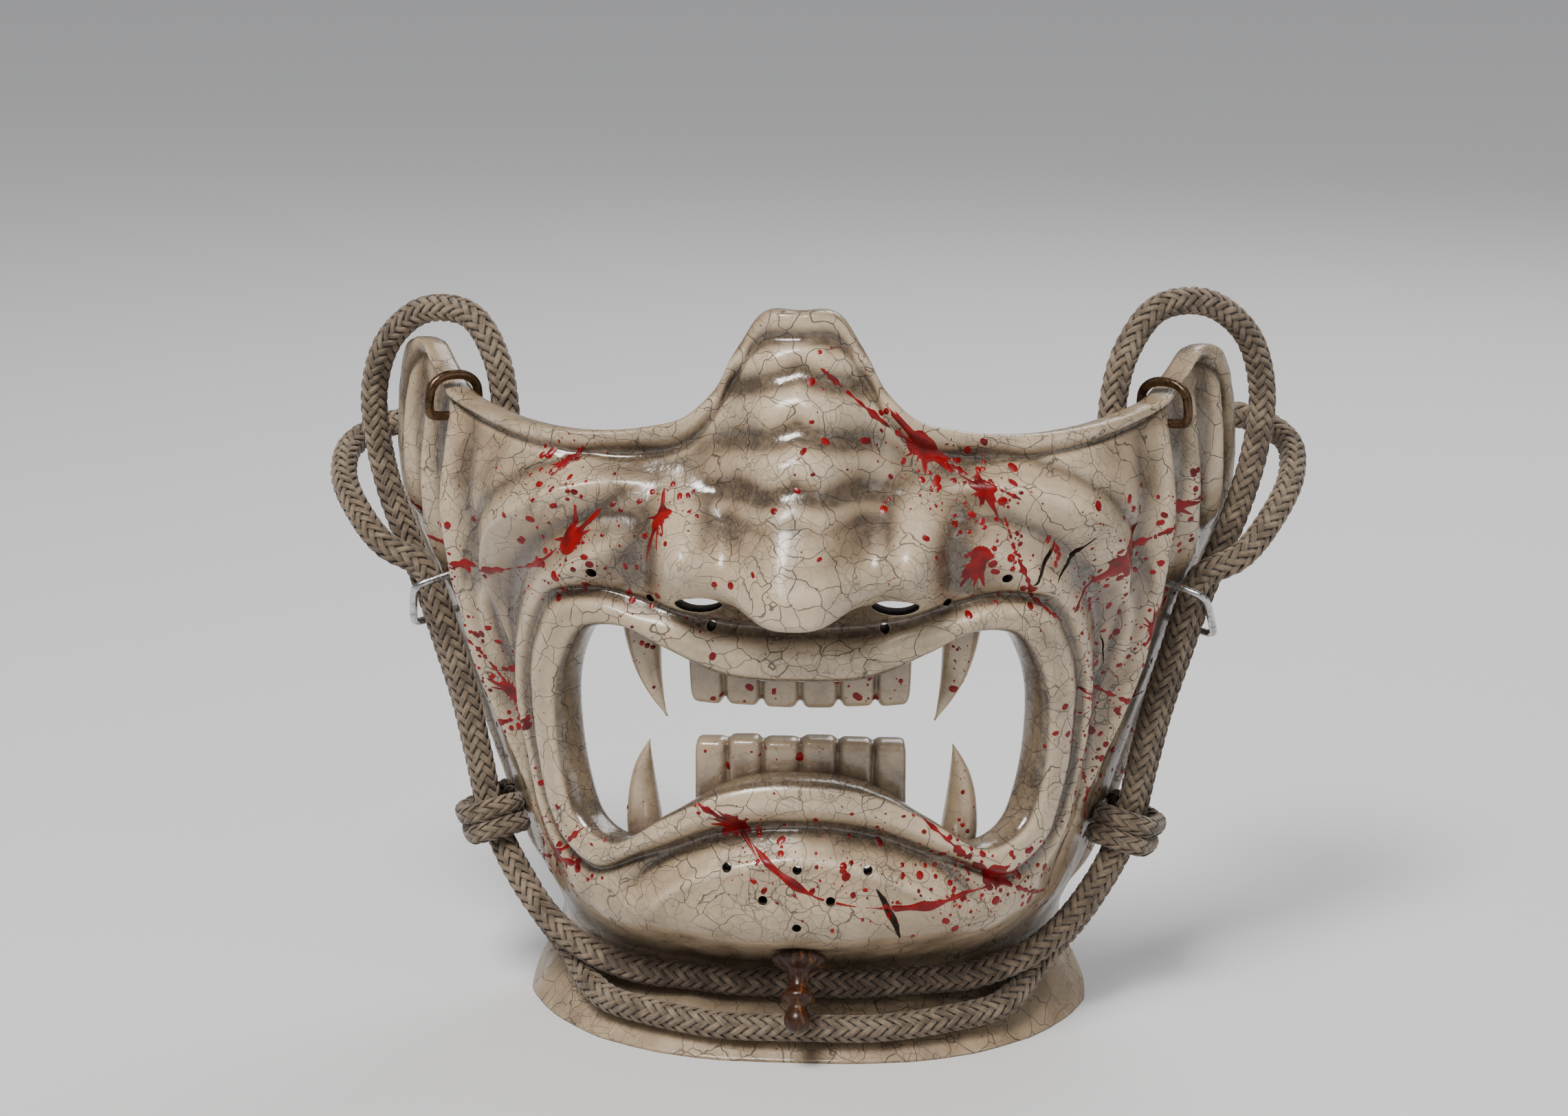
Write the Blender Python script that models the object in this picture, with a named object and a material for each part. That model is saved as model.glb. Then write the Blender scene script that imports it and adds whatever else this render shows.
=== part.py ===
"""A fierce samurai half mask with its braided cord, at life size, in metres and +Z up.

The face looks along -Y and the mask stands on the flat foot of its throat flange.
A place on the wall of the mask is given by round, the length along the wall from the
middle of the face, positive to the viewer's right, and by up, the height above the foot.
"""

import math
from collections import namedtuple

import bmesh
import bpy
import numpy as np
from mathutils import Matrix, Vector

# The wall
HALF_GIRTH = 0.130          # from the middle of the face to the back edge of a wing
HEIGHT = 0.166              # from the foot to the top of the nose bridge
WALL = 0.0040
CHIN_UNDERCUT = 0.022       # how far the throat is drawn in behind the chin
SIDE_UNDERCUT = 0.0065      # and behind the jaw at the sides
FIT_GAP = 0.0003            # left between two pieces that lie against each other
ORIGIN_DEPTH = 0.0237       # how far the origin lies behind the front of the chin

# The mouth
MOUTH_HALF_WIDTH = 0.055
LIP_WIDTH = 0.0095
LIP_RISE = 0.0042
LIP_DEPTH = 0.0045          # thickness of the wall at the edge of the mouth

# The nose
NOSE_RISE = 0.026
NOSE_HALF_WIDTH = 0.0130
NOSE_DROP = 0.0055
NOSTRIL_HALF_WIDTH = 0.0050
NOSTRIL_HALF_HEIGHT = 0.0024
NOSTRIL_PLACE = 0.0205
NOSTRIL_UP = 0.1065
BRIDGE_FOLD_RISE = 0.0020
BRIDGE_FOLD_PITCH = 0.0105

# Teeth
TOOTH_COUNT = 6             # in each row
UPPER_TEETH_HALF_WIDTH = 0.0255
UPPER_TOOTH_HEIGHT = 0.0100
LOWER_TEETH_HALF_WIDTH = 0.0250
LOWER_TOOTH_HEIGHT = 0.0065
TOOTH_DEPTH = 0.0065
TOOTH_ROOT = 0.0060         # the part of a tooth that is hidden behind the lip
FANG_ROOT_RADIUS = 0.0050
UPPER_FANG_LENGTH = 0.0235
LOWER_FANG_LENGTH = 0.0200
FANG_BOW = 0.0034
UPPER_FANG_PLACE = 0.68     # middle of the root, as a share of MOUTH_HALF_WIDTH
UPPER_FANG_LEAN = 0.0060    # how far the tip leans to the middle
LOWER_FANG_PLACE = 0.70
LOWER_FANG_LEAN = 0.0020

# Fittings
PEG_UP = 0.0255             # height of the peg's foot under the chin
PEG_RADIUS = 0.0062
PEG_LENGTH = 0.0170
TOP_WIRE_RADIUS = 0.00105
TOP_HOOK_ROUND = 0.0915
TOP_HOOK_HOLE_DROP = 0.0060     # the hole's depth below the top edge of the wall
TOP_HOOK_FRONT = 0.0046     # how far the ring stands off the plain wall in front
SIDE_WIRE_RADIUS = 0.0009
SIDE_HOOK_ROUND = 0.1065
SIDE_HOOK_REACH = 0.0180    # length of the hook along the wall, across the strands
SIDE_HOOK_UP = 0.0930
SIDE_HOOK_LENGTH = 0.0140   # and how far its back foot lies below its front foot
SIDE_HOOK_STANDOFF = 0.0100
SIDE_HOOK_BEND = 0.0022     # height of the bend at each of the hook's shoulders
SIDE_HOOK_TAIL = 0.0012     # how far its feet show behind the wall
WHISKER_HOLE_RADIUS = 0.0010

# Cord
CORD_DIAMETER = 0.0062

# How finely the wall is drawn
RAYS = 80
LIP_RINGS = 6
FIELD_RINGS = 15

Section = namedtuple("Section", "up drawn_in reach turn")
# Level sections of the wall. up is a share of HEIGHT; drawn_in a share of CHIN_UNDERCUT;
# reach, how far round the side turns back, a share of HALF_GIRTH; turn is in degrees.
SECTIONS = (
    Section(0.000, 0.16, 0.470, 84),
    Section(0.040, 0.58, 0.455, 84),
    Section(0.075, 0.97, 0.445, 84),
    Section(0.100, 0.96, 0.435, 84),
    Section(0.140, 0.52, 0.425, 84),
    Section(0.190, 0.06, 0.430, 83),
    Section(0.250, 0.00, 0.450, 82),
    Section(0.390, 0.16, 0.500, 79),
    Section(0.520, 0.08, 0.530, 76),
    Section(0.660, 0.00, 0.550, 72),
    Section(0.820, 0.22, 0.550, 69),
    Section(1.000, 0.60, 0.540, 68),
)

Corner = namedtuple("Corner", "round up")
# Outer edge from the top of the nose bridge to the foot, in shares of HALF_GIRTH and HEIGHT.
OUTER_EDGE = (
    Corner(0.000, 1.000), Corner(0.056, 0.998), Corner(0.100, 0.955), Corner(0.146, 0.893),
    Corner(0.190, 0.862), Corner(0.265, 0.846), Corner(0.360, 0.838), Corner(0.480, 0.841),
    Corner(0.600, 0.852), Corner(0.700, 0.864), Corner(0.780, 0.892), Corner(0.845, 0.912),
    Corner(0.905, 0.905), Corner(0.955, 0.868), Corner(0.988, 0.795), Corner(1.000, 0.700),
    Corner(0.972, 0.600), Corner(0.912, 0.500), Corner(0.858, 0.400), Corner(0.808, 0.300),
    Corner(0.762, 0.215), Corner(0.732, 0.165), Corner(0.742, 0.120), Corner(0.736, 0.065),
    Corner(0.708, 0.022), Corner(0.660, 0.000), Corner(0.500, 0.000), Corner(0.330, 0.000),
    Corner(0.165, 0.000), Corner(0.000, 0.000),
)
# Edge of the mouth from its top to its bottom, in shares of MOUTH_HALF_WIDTH and HEIGHT.
MOUTH_EDGE = (
    Corner(0.00, 0.536), Corner(0.28, 0.543), Corner(0.50, 0.575), Corner(0.66, 0.600),
    Corner(0.82, 0.594), Corner(0.93, 0.545), Corner(1.00, 0.450), Corner(0.985, 0.372),
    Corner(0.90, 0.322), Corner(0.73, 0.302), Corner(0.52, 0.342), Corner(0.28, 0.384),
    Corner(0.00, 0.396),
)

Spoke = namedtuple("Spoke", "turn mouth edge")
# Which place on the mouth's edge and which on the outer edge a ray joins, as shares of
# half a turn and of the two half edges.
SPOKES = (
    Spoke(0.00, 0.00, 0.000), Spoke(0.20, 0.12, 0.075), Spoke(0.34, 0.24, 0.220),
    Spoke(0.44, 0.34, 0.360), Spoke(0.56, 0.50, 0.545), Spoke(0.68, 0.64, 0.720),
    Spoke(0.74, 0.70, 0.775), Spoke(1.00, 1.00, 1.000),
)

Ridge = namedtuple("Ridge", "up rise width")
# The nose from its foot to the top of the bridge: up as a share of HEIGHT, rise as a
# share of NOSE_RISE and width as a share of NOSE_HALF_WIDTH.
NOSE = (
    Ridge(0.605, 0.00, 1.00), Ridge(0.632, 0.22, 1.05), Ridge(0.660, 0.86, 1.12),
    Ridge(0.695, 1.00, 1.12), Ridge(0.740, 0.90, 1.00), Ridge(0.800, 0.66, 0.90),
    Ridge(0.870, 0.46, 0.95), Ridge(0.940, 0.32, 1.00), Ridge(1.000, 0.26, 0.95),
)

Boss = namedtuple("Boss", "round up half_width half_height rise")
# Rounded swellings and hollows on each side: places and half sizes as shares of
# HALF_GIRTH and HEIGHT, rise in metres over the wall.
BOSSES = (
    Boss(0.172, 0.692, 0.054, 0.058, 0.0150),      # wing of the nostril
    Boss(0.460, 0.740, 0.190, 0.080, 0.0065),      # cheekbone
    Boss(0.000, 0.235, 0.210, 0.066, 0.0050),      # chin
    Boss(0.330, 0.225, 0.100, 0.066, 0.0026),      # side of the chin
    Boss(0.300, 0.812, 0.120, 0.034, -0.0030),     # hollow under the eye
    Boss(0.600, 0.430, 0.080, 0.140, -0.0024),     # hollow of the jaw
)

Fold = namedtuple("Fold", "path width rise")
# Raised folds and sunk creases on each side: the path in shares of HALF_GIRTH and
# HEIGHT, half width and rise in metres.
FOLDS = (
    Fold((Corner(0.230, 0.735), Corner(0.300, 0.700), Corner(0.400, 0.645),
          Corner(0.480, 0.555), Corner(0.515, 0.440), Corner(0.490, 0.320),
          Corner(0.420, 0.235)), 0.0048, 0.0046),
    Fold((Corner(0.225, 0.780), Corner(0.330, 0.780), Corner(0.430, 0.750),
          Corner(0.540, 0.680), Corner(0.600, 0.590), Corner(0.615, 0.480)), 0.0040, 0.0026),
    Fold((Corner(0.700, 0.850), Corner(0.672, 0.760), Corner(0.660, 0.640),
          Corner(0.655, 0.520), Corner(0.625, 0.400), Corner(0.560, 0.300)), 0.0050, 0.0044),
    Fold((Corner(0.800, 0.870), Corner(0.775, 0.780), Corner(0.785, 0.690),
          Corner(0.835, 0.600)), 0.0052, 0.0030),
    Fold((Corner(0.905, 0.880), Corner(0.880, 0.800), Corner(0.890, 0.720),
          Corner(0.930, 0.650)), 0.0052, 0.0030),
    Fold((Corner(-0.090, 0.330), Corner(0.000, 0.335), Corner(0.120, 0.322),
          Corner(0.230, 0.285), Corner(0.310, 0.225)), 0.0040, -0.0030),
)
EDGE_ROLL_WIDTH = 0.0032
EDGE_ROLL_RISE = 0.0016

# Whisker holes on the upper lip and the chin, in shares of HALF_GIRTH and HEIGHT.
WHISKER_HOLES = (
    Corner(-0.330, 0.668), Corner(-0.240, 0.638), Corner(-0.140, 0.606),
    Corner(0.140, 0.606), Corner(0.240, 0.638), Corner(0.330, 0.668),
    Corner(-0.115, 0.282), Corner(0.115, 0.282), Corner(-0.055, 0.246),
    Corner(0.055, 0.246), Corner(0.000, 0.282), Corner(0.000, 0.212),
)

Stop = namedtuple("Stop", "round up off")
# The routes of the two strands from under the chin up to a top hook: round and up as
# shares of HALF_GIRTH and HEIGHT; off, the distance of the cord's middle from the plain
# wall, in cord diameters, less than 0 behind the wall.
OUTER_ROUTE_RIGHT = (
    Stop(0.000, 0.030, 0.64), Stop(0.140, 0.030, 0.64), Stop(0.280, 0.032, 0.64),
    Stop(0.420, 0.038, 0.68), Stop(0.545, 0.075, 0.80), Stop(0.640, 0.160, 1.00),
    Stop(0.712, 0.257, 1.20), Stop(0.757, 0.337, 0.98), Stop(0.797, 0.417, 0.78),
    Stop(0.827, 0.490, 0.74), Stop(0.850, 0.560, 0.74), Stop(0.888, 0.625, 0.80),
    Stop(0.932, 0.690, 0.97), Stop(0.965, 0.760, 1.20), Stop(0.975, 0.840, 1.35),
    Stop(0.940, 0.920, 1.10), Stop(0.870, 0.970, 0.25), Stop(0.780, 0.972, -0.85),
    Stop(0.710, 0.920, -1.50), Stop(0.672, 0.860, -1.65), Stop(0.655, 0.800, -1.60),
)
OUTER_ROUTE_LEFT = OUTER_ROUTE_RIGHT[:13] + (
    Stop(0.960, 0.755, 1.15), Stop(0.965, 0.830, 1.25), Stop(0.925, 0.905, 0.95),
    Stop(0.850, 0.955, 0.05), Stop(0.765, 0.955, -1.00), Stop(0.705, 0.905, -1.55),
    Stop(0.672, 0.850, -1.65), Stop(0.655, 0.800, -1.60),
)
INNER_ROUTE_RIGHT = (
    Stop(0.000, 0.090, 0.98), Stop(0.140, 0.091, 1.00), Stop(0.270, 0.093, 1.02),
    Stop(0.390, 0.104, 1.06), Stop(0.500, 0.143, 1.06), Stop(0.592, 0.206, 1.08),
    Stop(0.660, 0.278, 1.20), Stop(0.703, 0.354, 1.00), Stop(0.742, 0.432, 0.80),
    Stop(0.772, 0.504, 0.76), Stop(0.794, 0.566, 0.74), Stop(0.818, 0.606, 0.78),
    Stop(0.850, 0.642, 1.82), Stop(0.925, 0.688, 2.36), Stop(1.015, 0.733, 2.36),
    Stop(1.090, 0.762, 1.62), Stop(1.120, 0.779, 0.17), Stop(1.090, 0.788, -1.30),
    Stop(1.015, 0.791, -1.98), Stop(0.930, 0.790, -1.88), Stop(0.850, 0.786, -1.72),
    Stop(0.770, 0.780, -1.65),
)
INNER_ROUTE_LEFT = INNER_ROUTE_RIGHT[:13] + (
    Stop(0.925, 0.682, 2.36), Stop(1.015, 0.718, 2.36), Stop(1.090, 0.742, 1.62),
    Stop(1.120, 0.757, 0.17), Stop(1.090, 0.766, -1.30), Stop(1.015, 0.770, -1.98),
    Stop(0.930, 0.771, -1.88), Stop(0.850, 0.769, -1.72), Stop(0.770, 0.765, -1.65),
)
ROUTE_STEP = 2.2            # distance between the tube's points, in cord diameters
KNOT_STOP = 6               # the stop of both routes that a lower knot is tied round
KNOT_LENGTH = 0.0095
KNOT_WALL = 0.0032
KNOT_SLACK = 0.0009

Turn = namedtuple("Turn", "along radius")
# Profile of the turned peg, as shares of PEG_LENGTH and PEG_RADIUS
PEG_PROFILE = (
    Turn(0.00, 1.00), Turn(0.09, 1.00), Turn(0.15, 0.80), Turn(0.20, 0.44),
    Turn(0.38, 0.34), Turn(0.46, 0.42), Turn(0.50, 0.60), Turn(0.58, 0.60),
    Turn(0.62, 0.36), Turn(0.68, 0.32), Turn(0.76, 0.46), Turn(0.88, 0.46),
    Turn(0.97, 0.28), Turn(1.00, 0.08),
)

Look = namedtuple("Look", "red green blue roughness metallic")
BONE = Look(0.55, 0.46, 0.36, 0.35, 0.0)
TOOTH = Look(0.58, 0.49, 0.38, 0.30, 0.0)
PEG_WOOD = Look(0.10, 0.04, 0.02, 0.25, 0.0)
BRONZE = Look(0.10, 0.06, 0.03, 0.35, 0.9)
STEEL = Look(0.62, 0.62, 0.63, 0.22, 1.0)
CORD_CLOTH = Look(0.27, 0.20, 0.14, 0.85, 0.0)

# Places and weights of the sum that measures a wall section along its length
SUM_PLACES, SUM_WEIGHTS = np.polynomial.legendre.leggauss(8)
SUM_PLACES = (SUM_PLACES + 1) / 2
SUM_WEIGHTS = SUM_WEIGHTS / 2
PROBE = 0.0004              # step that the wall's normals are measured with


def column(table, name):
    return np.array([getattr(row, name) for row in table], float)


def smooth(at, knots, values):
    """A smooth curve through the values at the knots, level beyond its two ends."""
    slopes = np.gradient(values, knots)
    at = np.clip(at, knots[0], knots[-1])
    i = np.clip(np.searchsorted(knots, at, side="right") - 1, 0, len(knots) - 2)
    width = knots[i + 1] - knots[i]
    t = (at - knots[i]) / width
    return (
        (1 + 2 * t) * (1 - t) ** 2 * values[i]
        + t * (1 - t) ** 2 * width * slopes[i]
        + t * t * (3 - 2 * t) * values[i + 1]
        + t * t * (t - 1) * width * slopes[i + 1]
    )


def ease(at, start, end):
    """A step that climbs smoothly from 0 at start to 1 at end."""
    t = np.clip((at - start) / (end - start), 0, 1)
    return t * t * (3 - 2 * t)


def curve_through(points, count):
    """Evenly spaced points on one smooth curve through the given points."""
    points = np.array(points, float)
    lengths = np.r_[0, np.cumsum(np.linalg.norm(np.diff(points, axis=0), axis=1))]
    fine = np.linspace(0, lengths[-1], 24 * len(points))
    path = np.stack([smooth(fine, lengths, axis) for axis in points.T], -1)
    travelled = np.r_[0, np.cumsum(np.linalg.norm(np.diff(path, axis=0), axis=1))]
    even = np.linspace(0, travelled[-1], count) if np.isscalar(count) else count * travelled[-1]
    return np.stack([np.interp(even, travelled, axis) for axis in path.T], -1)


def at_sizes(table, width):
    return [(row.round * width, row.up * HEIGHT) for row in table]


def plain_wall(around, up):
    """Points on the wall without its relief."""
    share = up / HEIGHT
    heights = column(SECTIONS, "up")
    drawn_in = smooth(share, heights, column(SECTIONS, "drawn_in"))
    reach = HALF_GIRTH * smooth(share, heights, column(SECTIONS, "reach"))
    turn = np.radians(smooth(share, heights, column(SECTIONS, "turn")))
    length = np.abs(around)
    at = length[..., None] * SUM_PLACES
    tilt = turn[..., None] * (1 - np.exp(-((at / reach[..., None]) ** 2)))
    x = length * (np.cos(tilt) * SUM_WEIGHTS).sum(-1)
    y = length * (np.sin(tilt) * SUM_WEIGHTS).sum(-1)
    end = turn * (1 - np.exp(-((length / reach) ** 2)))
    sideways = ease(length, 0.25 * HALF_GIRTH, 0.65 * HALF_GIRTH)
    inset = drawn_in * (CHIN_UNDERCUT + (SIDE_UNDERCUT - CHIN_UNDERCUT) * sideways)
    side = np.where(around < 0, -1.0, 1.0)
    depth = y + inset * np.cos(end) - ORIGIN_DEPTH
    return np.stack([side * (x - inset * np.sin(end)), depth, up + 0 * x], -1)


def wall_normal(around, up):
    """Directions that face out of the plain wall; level at the foot, so that it stays flat."""
    across = plain_wall(around + PROBE, up) - plain_wall(around - PROBE, up)
    upward = plain_wall(around, up + PROBE) - plain_wall(around, up - PROBE)
    normal = np.cross(across, upward)
    normal[..., 2] *= ease(up, 0, 0.07 * HEIGHT)
    return normal / np.linalg.norm(normal, axis=-1, keepdims=True)


def nose_push(around, up, slimmer=1.0):
    """How far the nose moves a point of the wall, straight ahead and down."""
    share = up / HEIGHT
    heights = column(NOSE, "up")
    rise = np.clip(smooth(share, heights, column(NOSE, "rise")), 0, None)
    rise = rise * (share > heights[0])
    width = NOSE_HALF_WIDTH * slimmer * smooth(share, heights, column(NOSE, "width"))
    bulge = rise * np.exp(-np.abs(around / width) ** 3.0)
    return np.stack([0 * bulge, -NOSE_RISE * bulge, -NOSE_DROP * bulge**2], -1)


def nearest_on(path, around, up):
    """Distance of each point to a path, and how far along the path it lies, from 0 to 1."""
    start, step = path[:-1], np.diff(path, axis=0)
    place = np.stack([around, up], -1)[..., None, :] - start
    along = np.clip((place * step).sum(-1) / (step**2).sum(-1), 0, 1)
    gap = np.linalg.norm(place - along[..., None] * step, axis=-1)
    nearest = gap.argmin(-1)[..., None]
    share = (nearest + np.take_along_axis(along, nearest, -1)) / len(step)
    return np.take_along_axis(gap, nearest, -1)[..., 0], share[..., 0]


def relief(around, up, from_mouth, from_edge):
    """Height of lips, folds, bosses and the rolled edge over the plain wall."""
    mirrored = np.abs(around)
    height = LIP_RISE * np.exp(-(((from_mouth - 0.42 * LIP_WIDTH) / (0.50 * LIP_WIDTH)) ** 4))
    away = ease(from_mouth, 0.4 * LIP_WIDTH, 1.6 * LIP_WIDTH)
    for boss in BOSSES:
        wide = (mirrored - boss.round * HALF_GIRTH) / (boss.half_width * HALF_GIRTH)
        high = (up - boss.up * HEIGHT) / (boss.half_height * HEIGHT)
        height = height + away * boss.rise * np.exp(-(wide**2 + high**2))
    for fold in FOLDS:
        path = curve_through(at_sizes(fold.path, HALF_GIRTH), 16)
        gap, along = nearest_on(path, mirrored, up)
        fade = np.sin(np.pi * np.clip(along, 0.03, 0.97)) ** 0.6
        height = height + away * fold.rise * fade * np.exp(-((gap / fold.width) ** 2))
    arched = up + 0.30 * mirrored - 0.775 * HEIGHT
    on_bridge = ease(arched, 0, 0.03 * HEIGHT) * ease(-arched, -0.21 * HEIGHT, -0.17 * HEIGHT)
    on_bridge = on_bridge * ease(-mirrored, -0.20 * HALF_GIRTH, -0.10 * HALF_GIRTH)
    wave = 0.5 + 0.5 * np.cos(2 * np.pi * arched / BRIDGE_FOLD_PITCH)
    height = height + BRIDGE_FOLD_RISE * on_bridge * wave
    roll = EDGE_ROLL_RISE * np.exp(-((from_edge / EDGE_ROLL_WIDTH) ** 4))
    return height + roll * ease(up, 0.10 * HEIGHT, 0.22 * HEIGHT)


def rays(count):
    """The two ends of each ray, on the mouth's edge and on the outer edge, all the way round."""
    turn = np.linspace(0, 2, count, endpoint=False)
    half = np.where(turn <= 1, turn, 2 - turn)
    side = np.where(turn <= 1, 1.0, -1.0)
    turns = column(SPOKES, "turn")
    ends = []
    for table, width, name in (
        (MOUTH_EDGE, MOUTH_HALF_WIDTH, "mouth"),
        (OUTER_EDGE, HALF_GIRTH, "edge"),
    ):
        share = np.interp(half, turns, column(SPOKES, name))
        place = curve_through(at_sizes(table, width), share)
        place[:, 0] = np.where((half == 0) | (half == 1), 0, np.maximum(place[:, 0], 0) * side)
        place[:, 1] = np.maximum(place[:, 1], 0)
        ends.append(place)
    return ends


def wall_places(ray_count, lip_rings, field_rings):
    """A net over the wall: round, up, distance from the mouth and from the outer edge."""
    mouth, edge = rays(ray_count)
    length = np.linalg.norm(edge - mouth, axis=1)[:, None]
    near = 1.3 * LIP_WIDTH * np.linspace(0, 1, lip_rings + 1)[None, :-1] + 0 * length
    far = 1.3 * LIP_WIDTH + (length - 1.3 * LIP_WIDTH) * np.linspace(0, 1, field_rings + 1)
    from_mouth = np.concatenate([near, far], 1)
    place = mouth[:, None] + (edge - mouth)[:, None] * (from_mouth / length)[..., None]
    return place[..., 0], place[..., 1], from_mouth, length - from_mouth


def front_face(around, up, from_mouth, from_edge):
    """Points on the outer face of the wall with all its relief."""
    normal = wall_normal(around, up)
    height = relief(around, up, from_mouth, from_edge)
    return plain_wall(around, up) + normal * height[..., None] + nose_push(around, up)


def back_face(around, up, from_mouth):
    """Points on the smooth inner face, which follows the nose but not the folds."""
    depth = WALL + (LIP_DEPTH - WALL) * (1 - ease(from_mouth, 0, 1.2 * LIP_WIDTH))
    hollow = 0.86 * nose_push(around, up, 0.88)
    nostril = BOSSES[0]
    wide = (np.abs(around) - nostril.round * HALF_GIRTH) / (nostril.half_width * HALF_GIRTH)
    high = (up - nostril.up * HEIGHT) / (nostril.half_height * HEIGHT)
    depth = depth - 0.6 * nostril.rise * np.exp(-1.2 * (wide**2 + high**2))
    return plain_wall(around, up) - wall_normal(around, up) * depth[..., None] + hollow


def net_faces(rows, columns, start, flip):
    """Faces of a net that closes on itself from its last row to its first."""
    faces = []
    for i in range(rows):
        for j in range(columns - 1):
            a, b = start + i * columns + j, start + (i + 1) % rows * columns + j
            corners = (a, a + 1, b + 1, b)
            faces.append(corners[::-1] if flip else corners)
    return faces


def material(name, look):
    made = bpy.data.materials.new(name)
    made.use_nodes = True
    shader = made.node_tree.nodes["Principled BSDF"]
    shader.inputs["Base Color"].default_value = (look.red, look.green, look.blue, 1)
    shader.inputs["Roughness"].default_value = look.roughness
    shader.inputs["Metallic"].default_value = look.metallic
    made.diffuse_color = (look.red, look.green, look.blue, 1)
    return made


def add_mesh(name, points, faces, look):
    mesh = bpy.data.meshes.new(name)
    mesh.from_pydata([tuple(point) for point in points], [], faces)
    tidy = bmesh.new()
    tidy.from_mesh(mesh)
    bmesh.ops.recalc_face_normals(tidy, faces=tidy.faces)
    tidy.to_mesh(mesh)
    tidy.free()
    mesh.shade_smooth()
    mesh.materials.append(material(name, look))
    piece = bpy.data.objects.new(name, mesh)
    bpy.context.scene.collection.objects.link(piece)
    return piece


def wall_point(around, up, off=0.0):
    """One point at a distance off the wall's face, its normal, and the level direction along it."""
    s, h = np.array([around], float), np.array([up], float)
    clear = np.array([1.0])
    normal = wall_normal(s, h)[0]
    point = front_face(s, h, clear, clear)[0] + off * normal
    across = (plain_wall(s + PROBE, h) - plain_wall(s - PROBE, h))[0]
    return Vector(point), Vector(normal), Vector(across).normalized()


def face_shell():
    net = wall_places(RAYS, LIP_RINGS, FIELD_RINGS)
    rows, columns = net[0].shape
    front = front_face(*net)
    back = back_face(*net[:3])
    on_foot = (net[1] < 1e-6)
    front[on_foot, 2] = 0
    back[on_foot, 2] = 0
    points = np.concatenate([front.reshape(-1, 3), back.reshape(-1, 3)])
    half = rows * columns
    faces = net_faces(rows, columns, 0, False) + net_faces(rows, columns, half, True)
    for j in (0, columns - 1):
        for i in range(rows):
            a, b = i * columns + j, (i + 1) % rows * columns + j
            faces.append((a, b, b + half, a + half) if j == 0 else (a, a + half, b + half, b))
    return add_mesh("face_shell", points, faces, BONE)


def ring_tube(name, rings, look, closed=False):
    """A body from rings of points, one after another, capped at both ends or closed."""
    rings = np.array(rings)
    count, sides = rings.shape[:2]
    faces = []
    for i in range(count if closed else count - 1):
        for j in range(sides):
            a, b = i * sides + j, i * sides + (j + 1) % sides
            c, d = (i + 1) % count * sides + j, (i + 1) % count * sides + (j + 1) % sides
            faces.append((a, b, d, c))
    if not closed:
        faces.append(tuple(range(sides))[::-1])
        faces.append(tuple((count - 1) * sides + j for j in range(sides)))
    return add_mesh(name, rings.reshape(-1, 3), faces, look)


def mouth_edge_up(around, upper):
    """Height of the upper or the lower edge of the mouth at a distance from the middle."""
    path = curve_through(at_sizes(MOUTH_EDGE, MOUTH_HALF_WIDTH), 120)
    widest = path[:, 0].argmax()
    half = path[:widest] if upper else path[widest:][::-1]
    return np.interp(np.abs(around), half[:, 0], half[:, 1])


def behind_lip(around, up, depth):
    """Points behind the plain wall, measured from the back of the lip."""
    s, h = np.broadcast_arrays(np.array(around, float), np.array(up, float))
    behind = (LIP_DEPTH + FIT_GAP + depth)[..., None]
    return plain_wall(s, h) - wall_normal(s, h) * behind


def teeth_row(name, half_width, height, upper):
    """A row of blunt teeth with a groove between each two, standing behind the lip."""
    up = 1 if upper else -1
    middle = mouth_edge_up(0, upper)
    tooth = 2 * half_width / TOOTH_COUNT
    rings = []
    for i in range(TOOTH_COUNT * 4 + 1):
        groove = i % 4 == 0
        around = -half_width + i * tooth / 4
        root = mouth_edge_up(around, upper) + up * TOOTH_ROOT
        fullness = 0.70 if groove else 1.0
        tip = middle - up * height * (0.90 if groove else 1.0) * (1 - 0.10 * (around / half_width) ** 2)
        front = TOOTH_DEPTH * (0.22 if groove else 0.0)
        section = (
            (root, 0.0), (root - up * TOOTH_ROOT, front), (tip + up * 0.25 * height, front),
            (tip, front + 0.30 * TOOTH_DEPTH), (tip, 0.75 * TOOTH_DEPTH * fullness + front),
            (root - up * TOOTH_ROOT, TOOTH_DEPTH), (root, TOOTH_DEPTH),
        )
        rings.append(behind_lip([around] * 7, [row[0] for row in section],
                                np.array([row[1] for row in section])))
    return ring_tube(name, rings, TOOTH)


def fang(name, side, root_share, lean, length, upper):
    """A curved fang whose root stands against the back of the lip."""
    up = 1 if upper else -1
    around = root_share * MOUTH_HALF_WIDTH
    root = mouth_edge_up(around, upper) + up * TOOTH_ROOT
    rings = []
    for t in (0.0, 0.16, 0.32, 0.48, 0.62, 0.75, 0.87, 1.0):
        radius = FANG_ROOT_RADIUS * max(1 - t**1.8, 0.05)
        bow = FANG_BOW * math.sin(math.pi * t) - lean * t
        place = around + bow
        forward = 0.8 * FANG_ROOT_RADIUS * ease(t, 0.35, 1.0)
        ring = []
        for k in range(8):
            angle = 2 * math.pi * k / 8
            ring.append(behind_lip(
                [side * (place + radius * math.cos(angle))], [root - up * (length + TOOTH_ROOT) * t],
                np.array([FANG_ROOT_RADIUS - forward + radius * math.sin(angle)]))[0])
        rings.append(ring)
    return ring_tube(name, rings, TOOTH)


def frame_at(point, direction, towards):
    """A placing whose Z runs along direction, with X as near to towards as it can be."""
    z = direction.normalized()
    x = (towards - z * towards.dot(z)).normalized()
    turn = Matrix((x, z.cross(x), z)).transposed().to_4x4()
    return Matrix.Translation(point) @ turn


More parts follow.
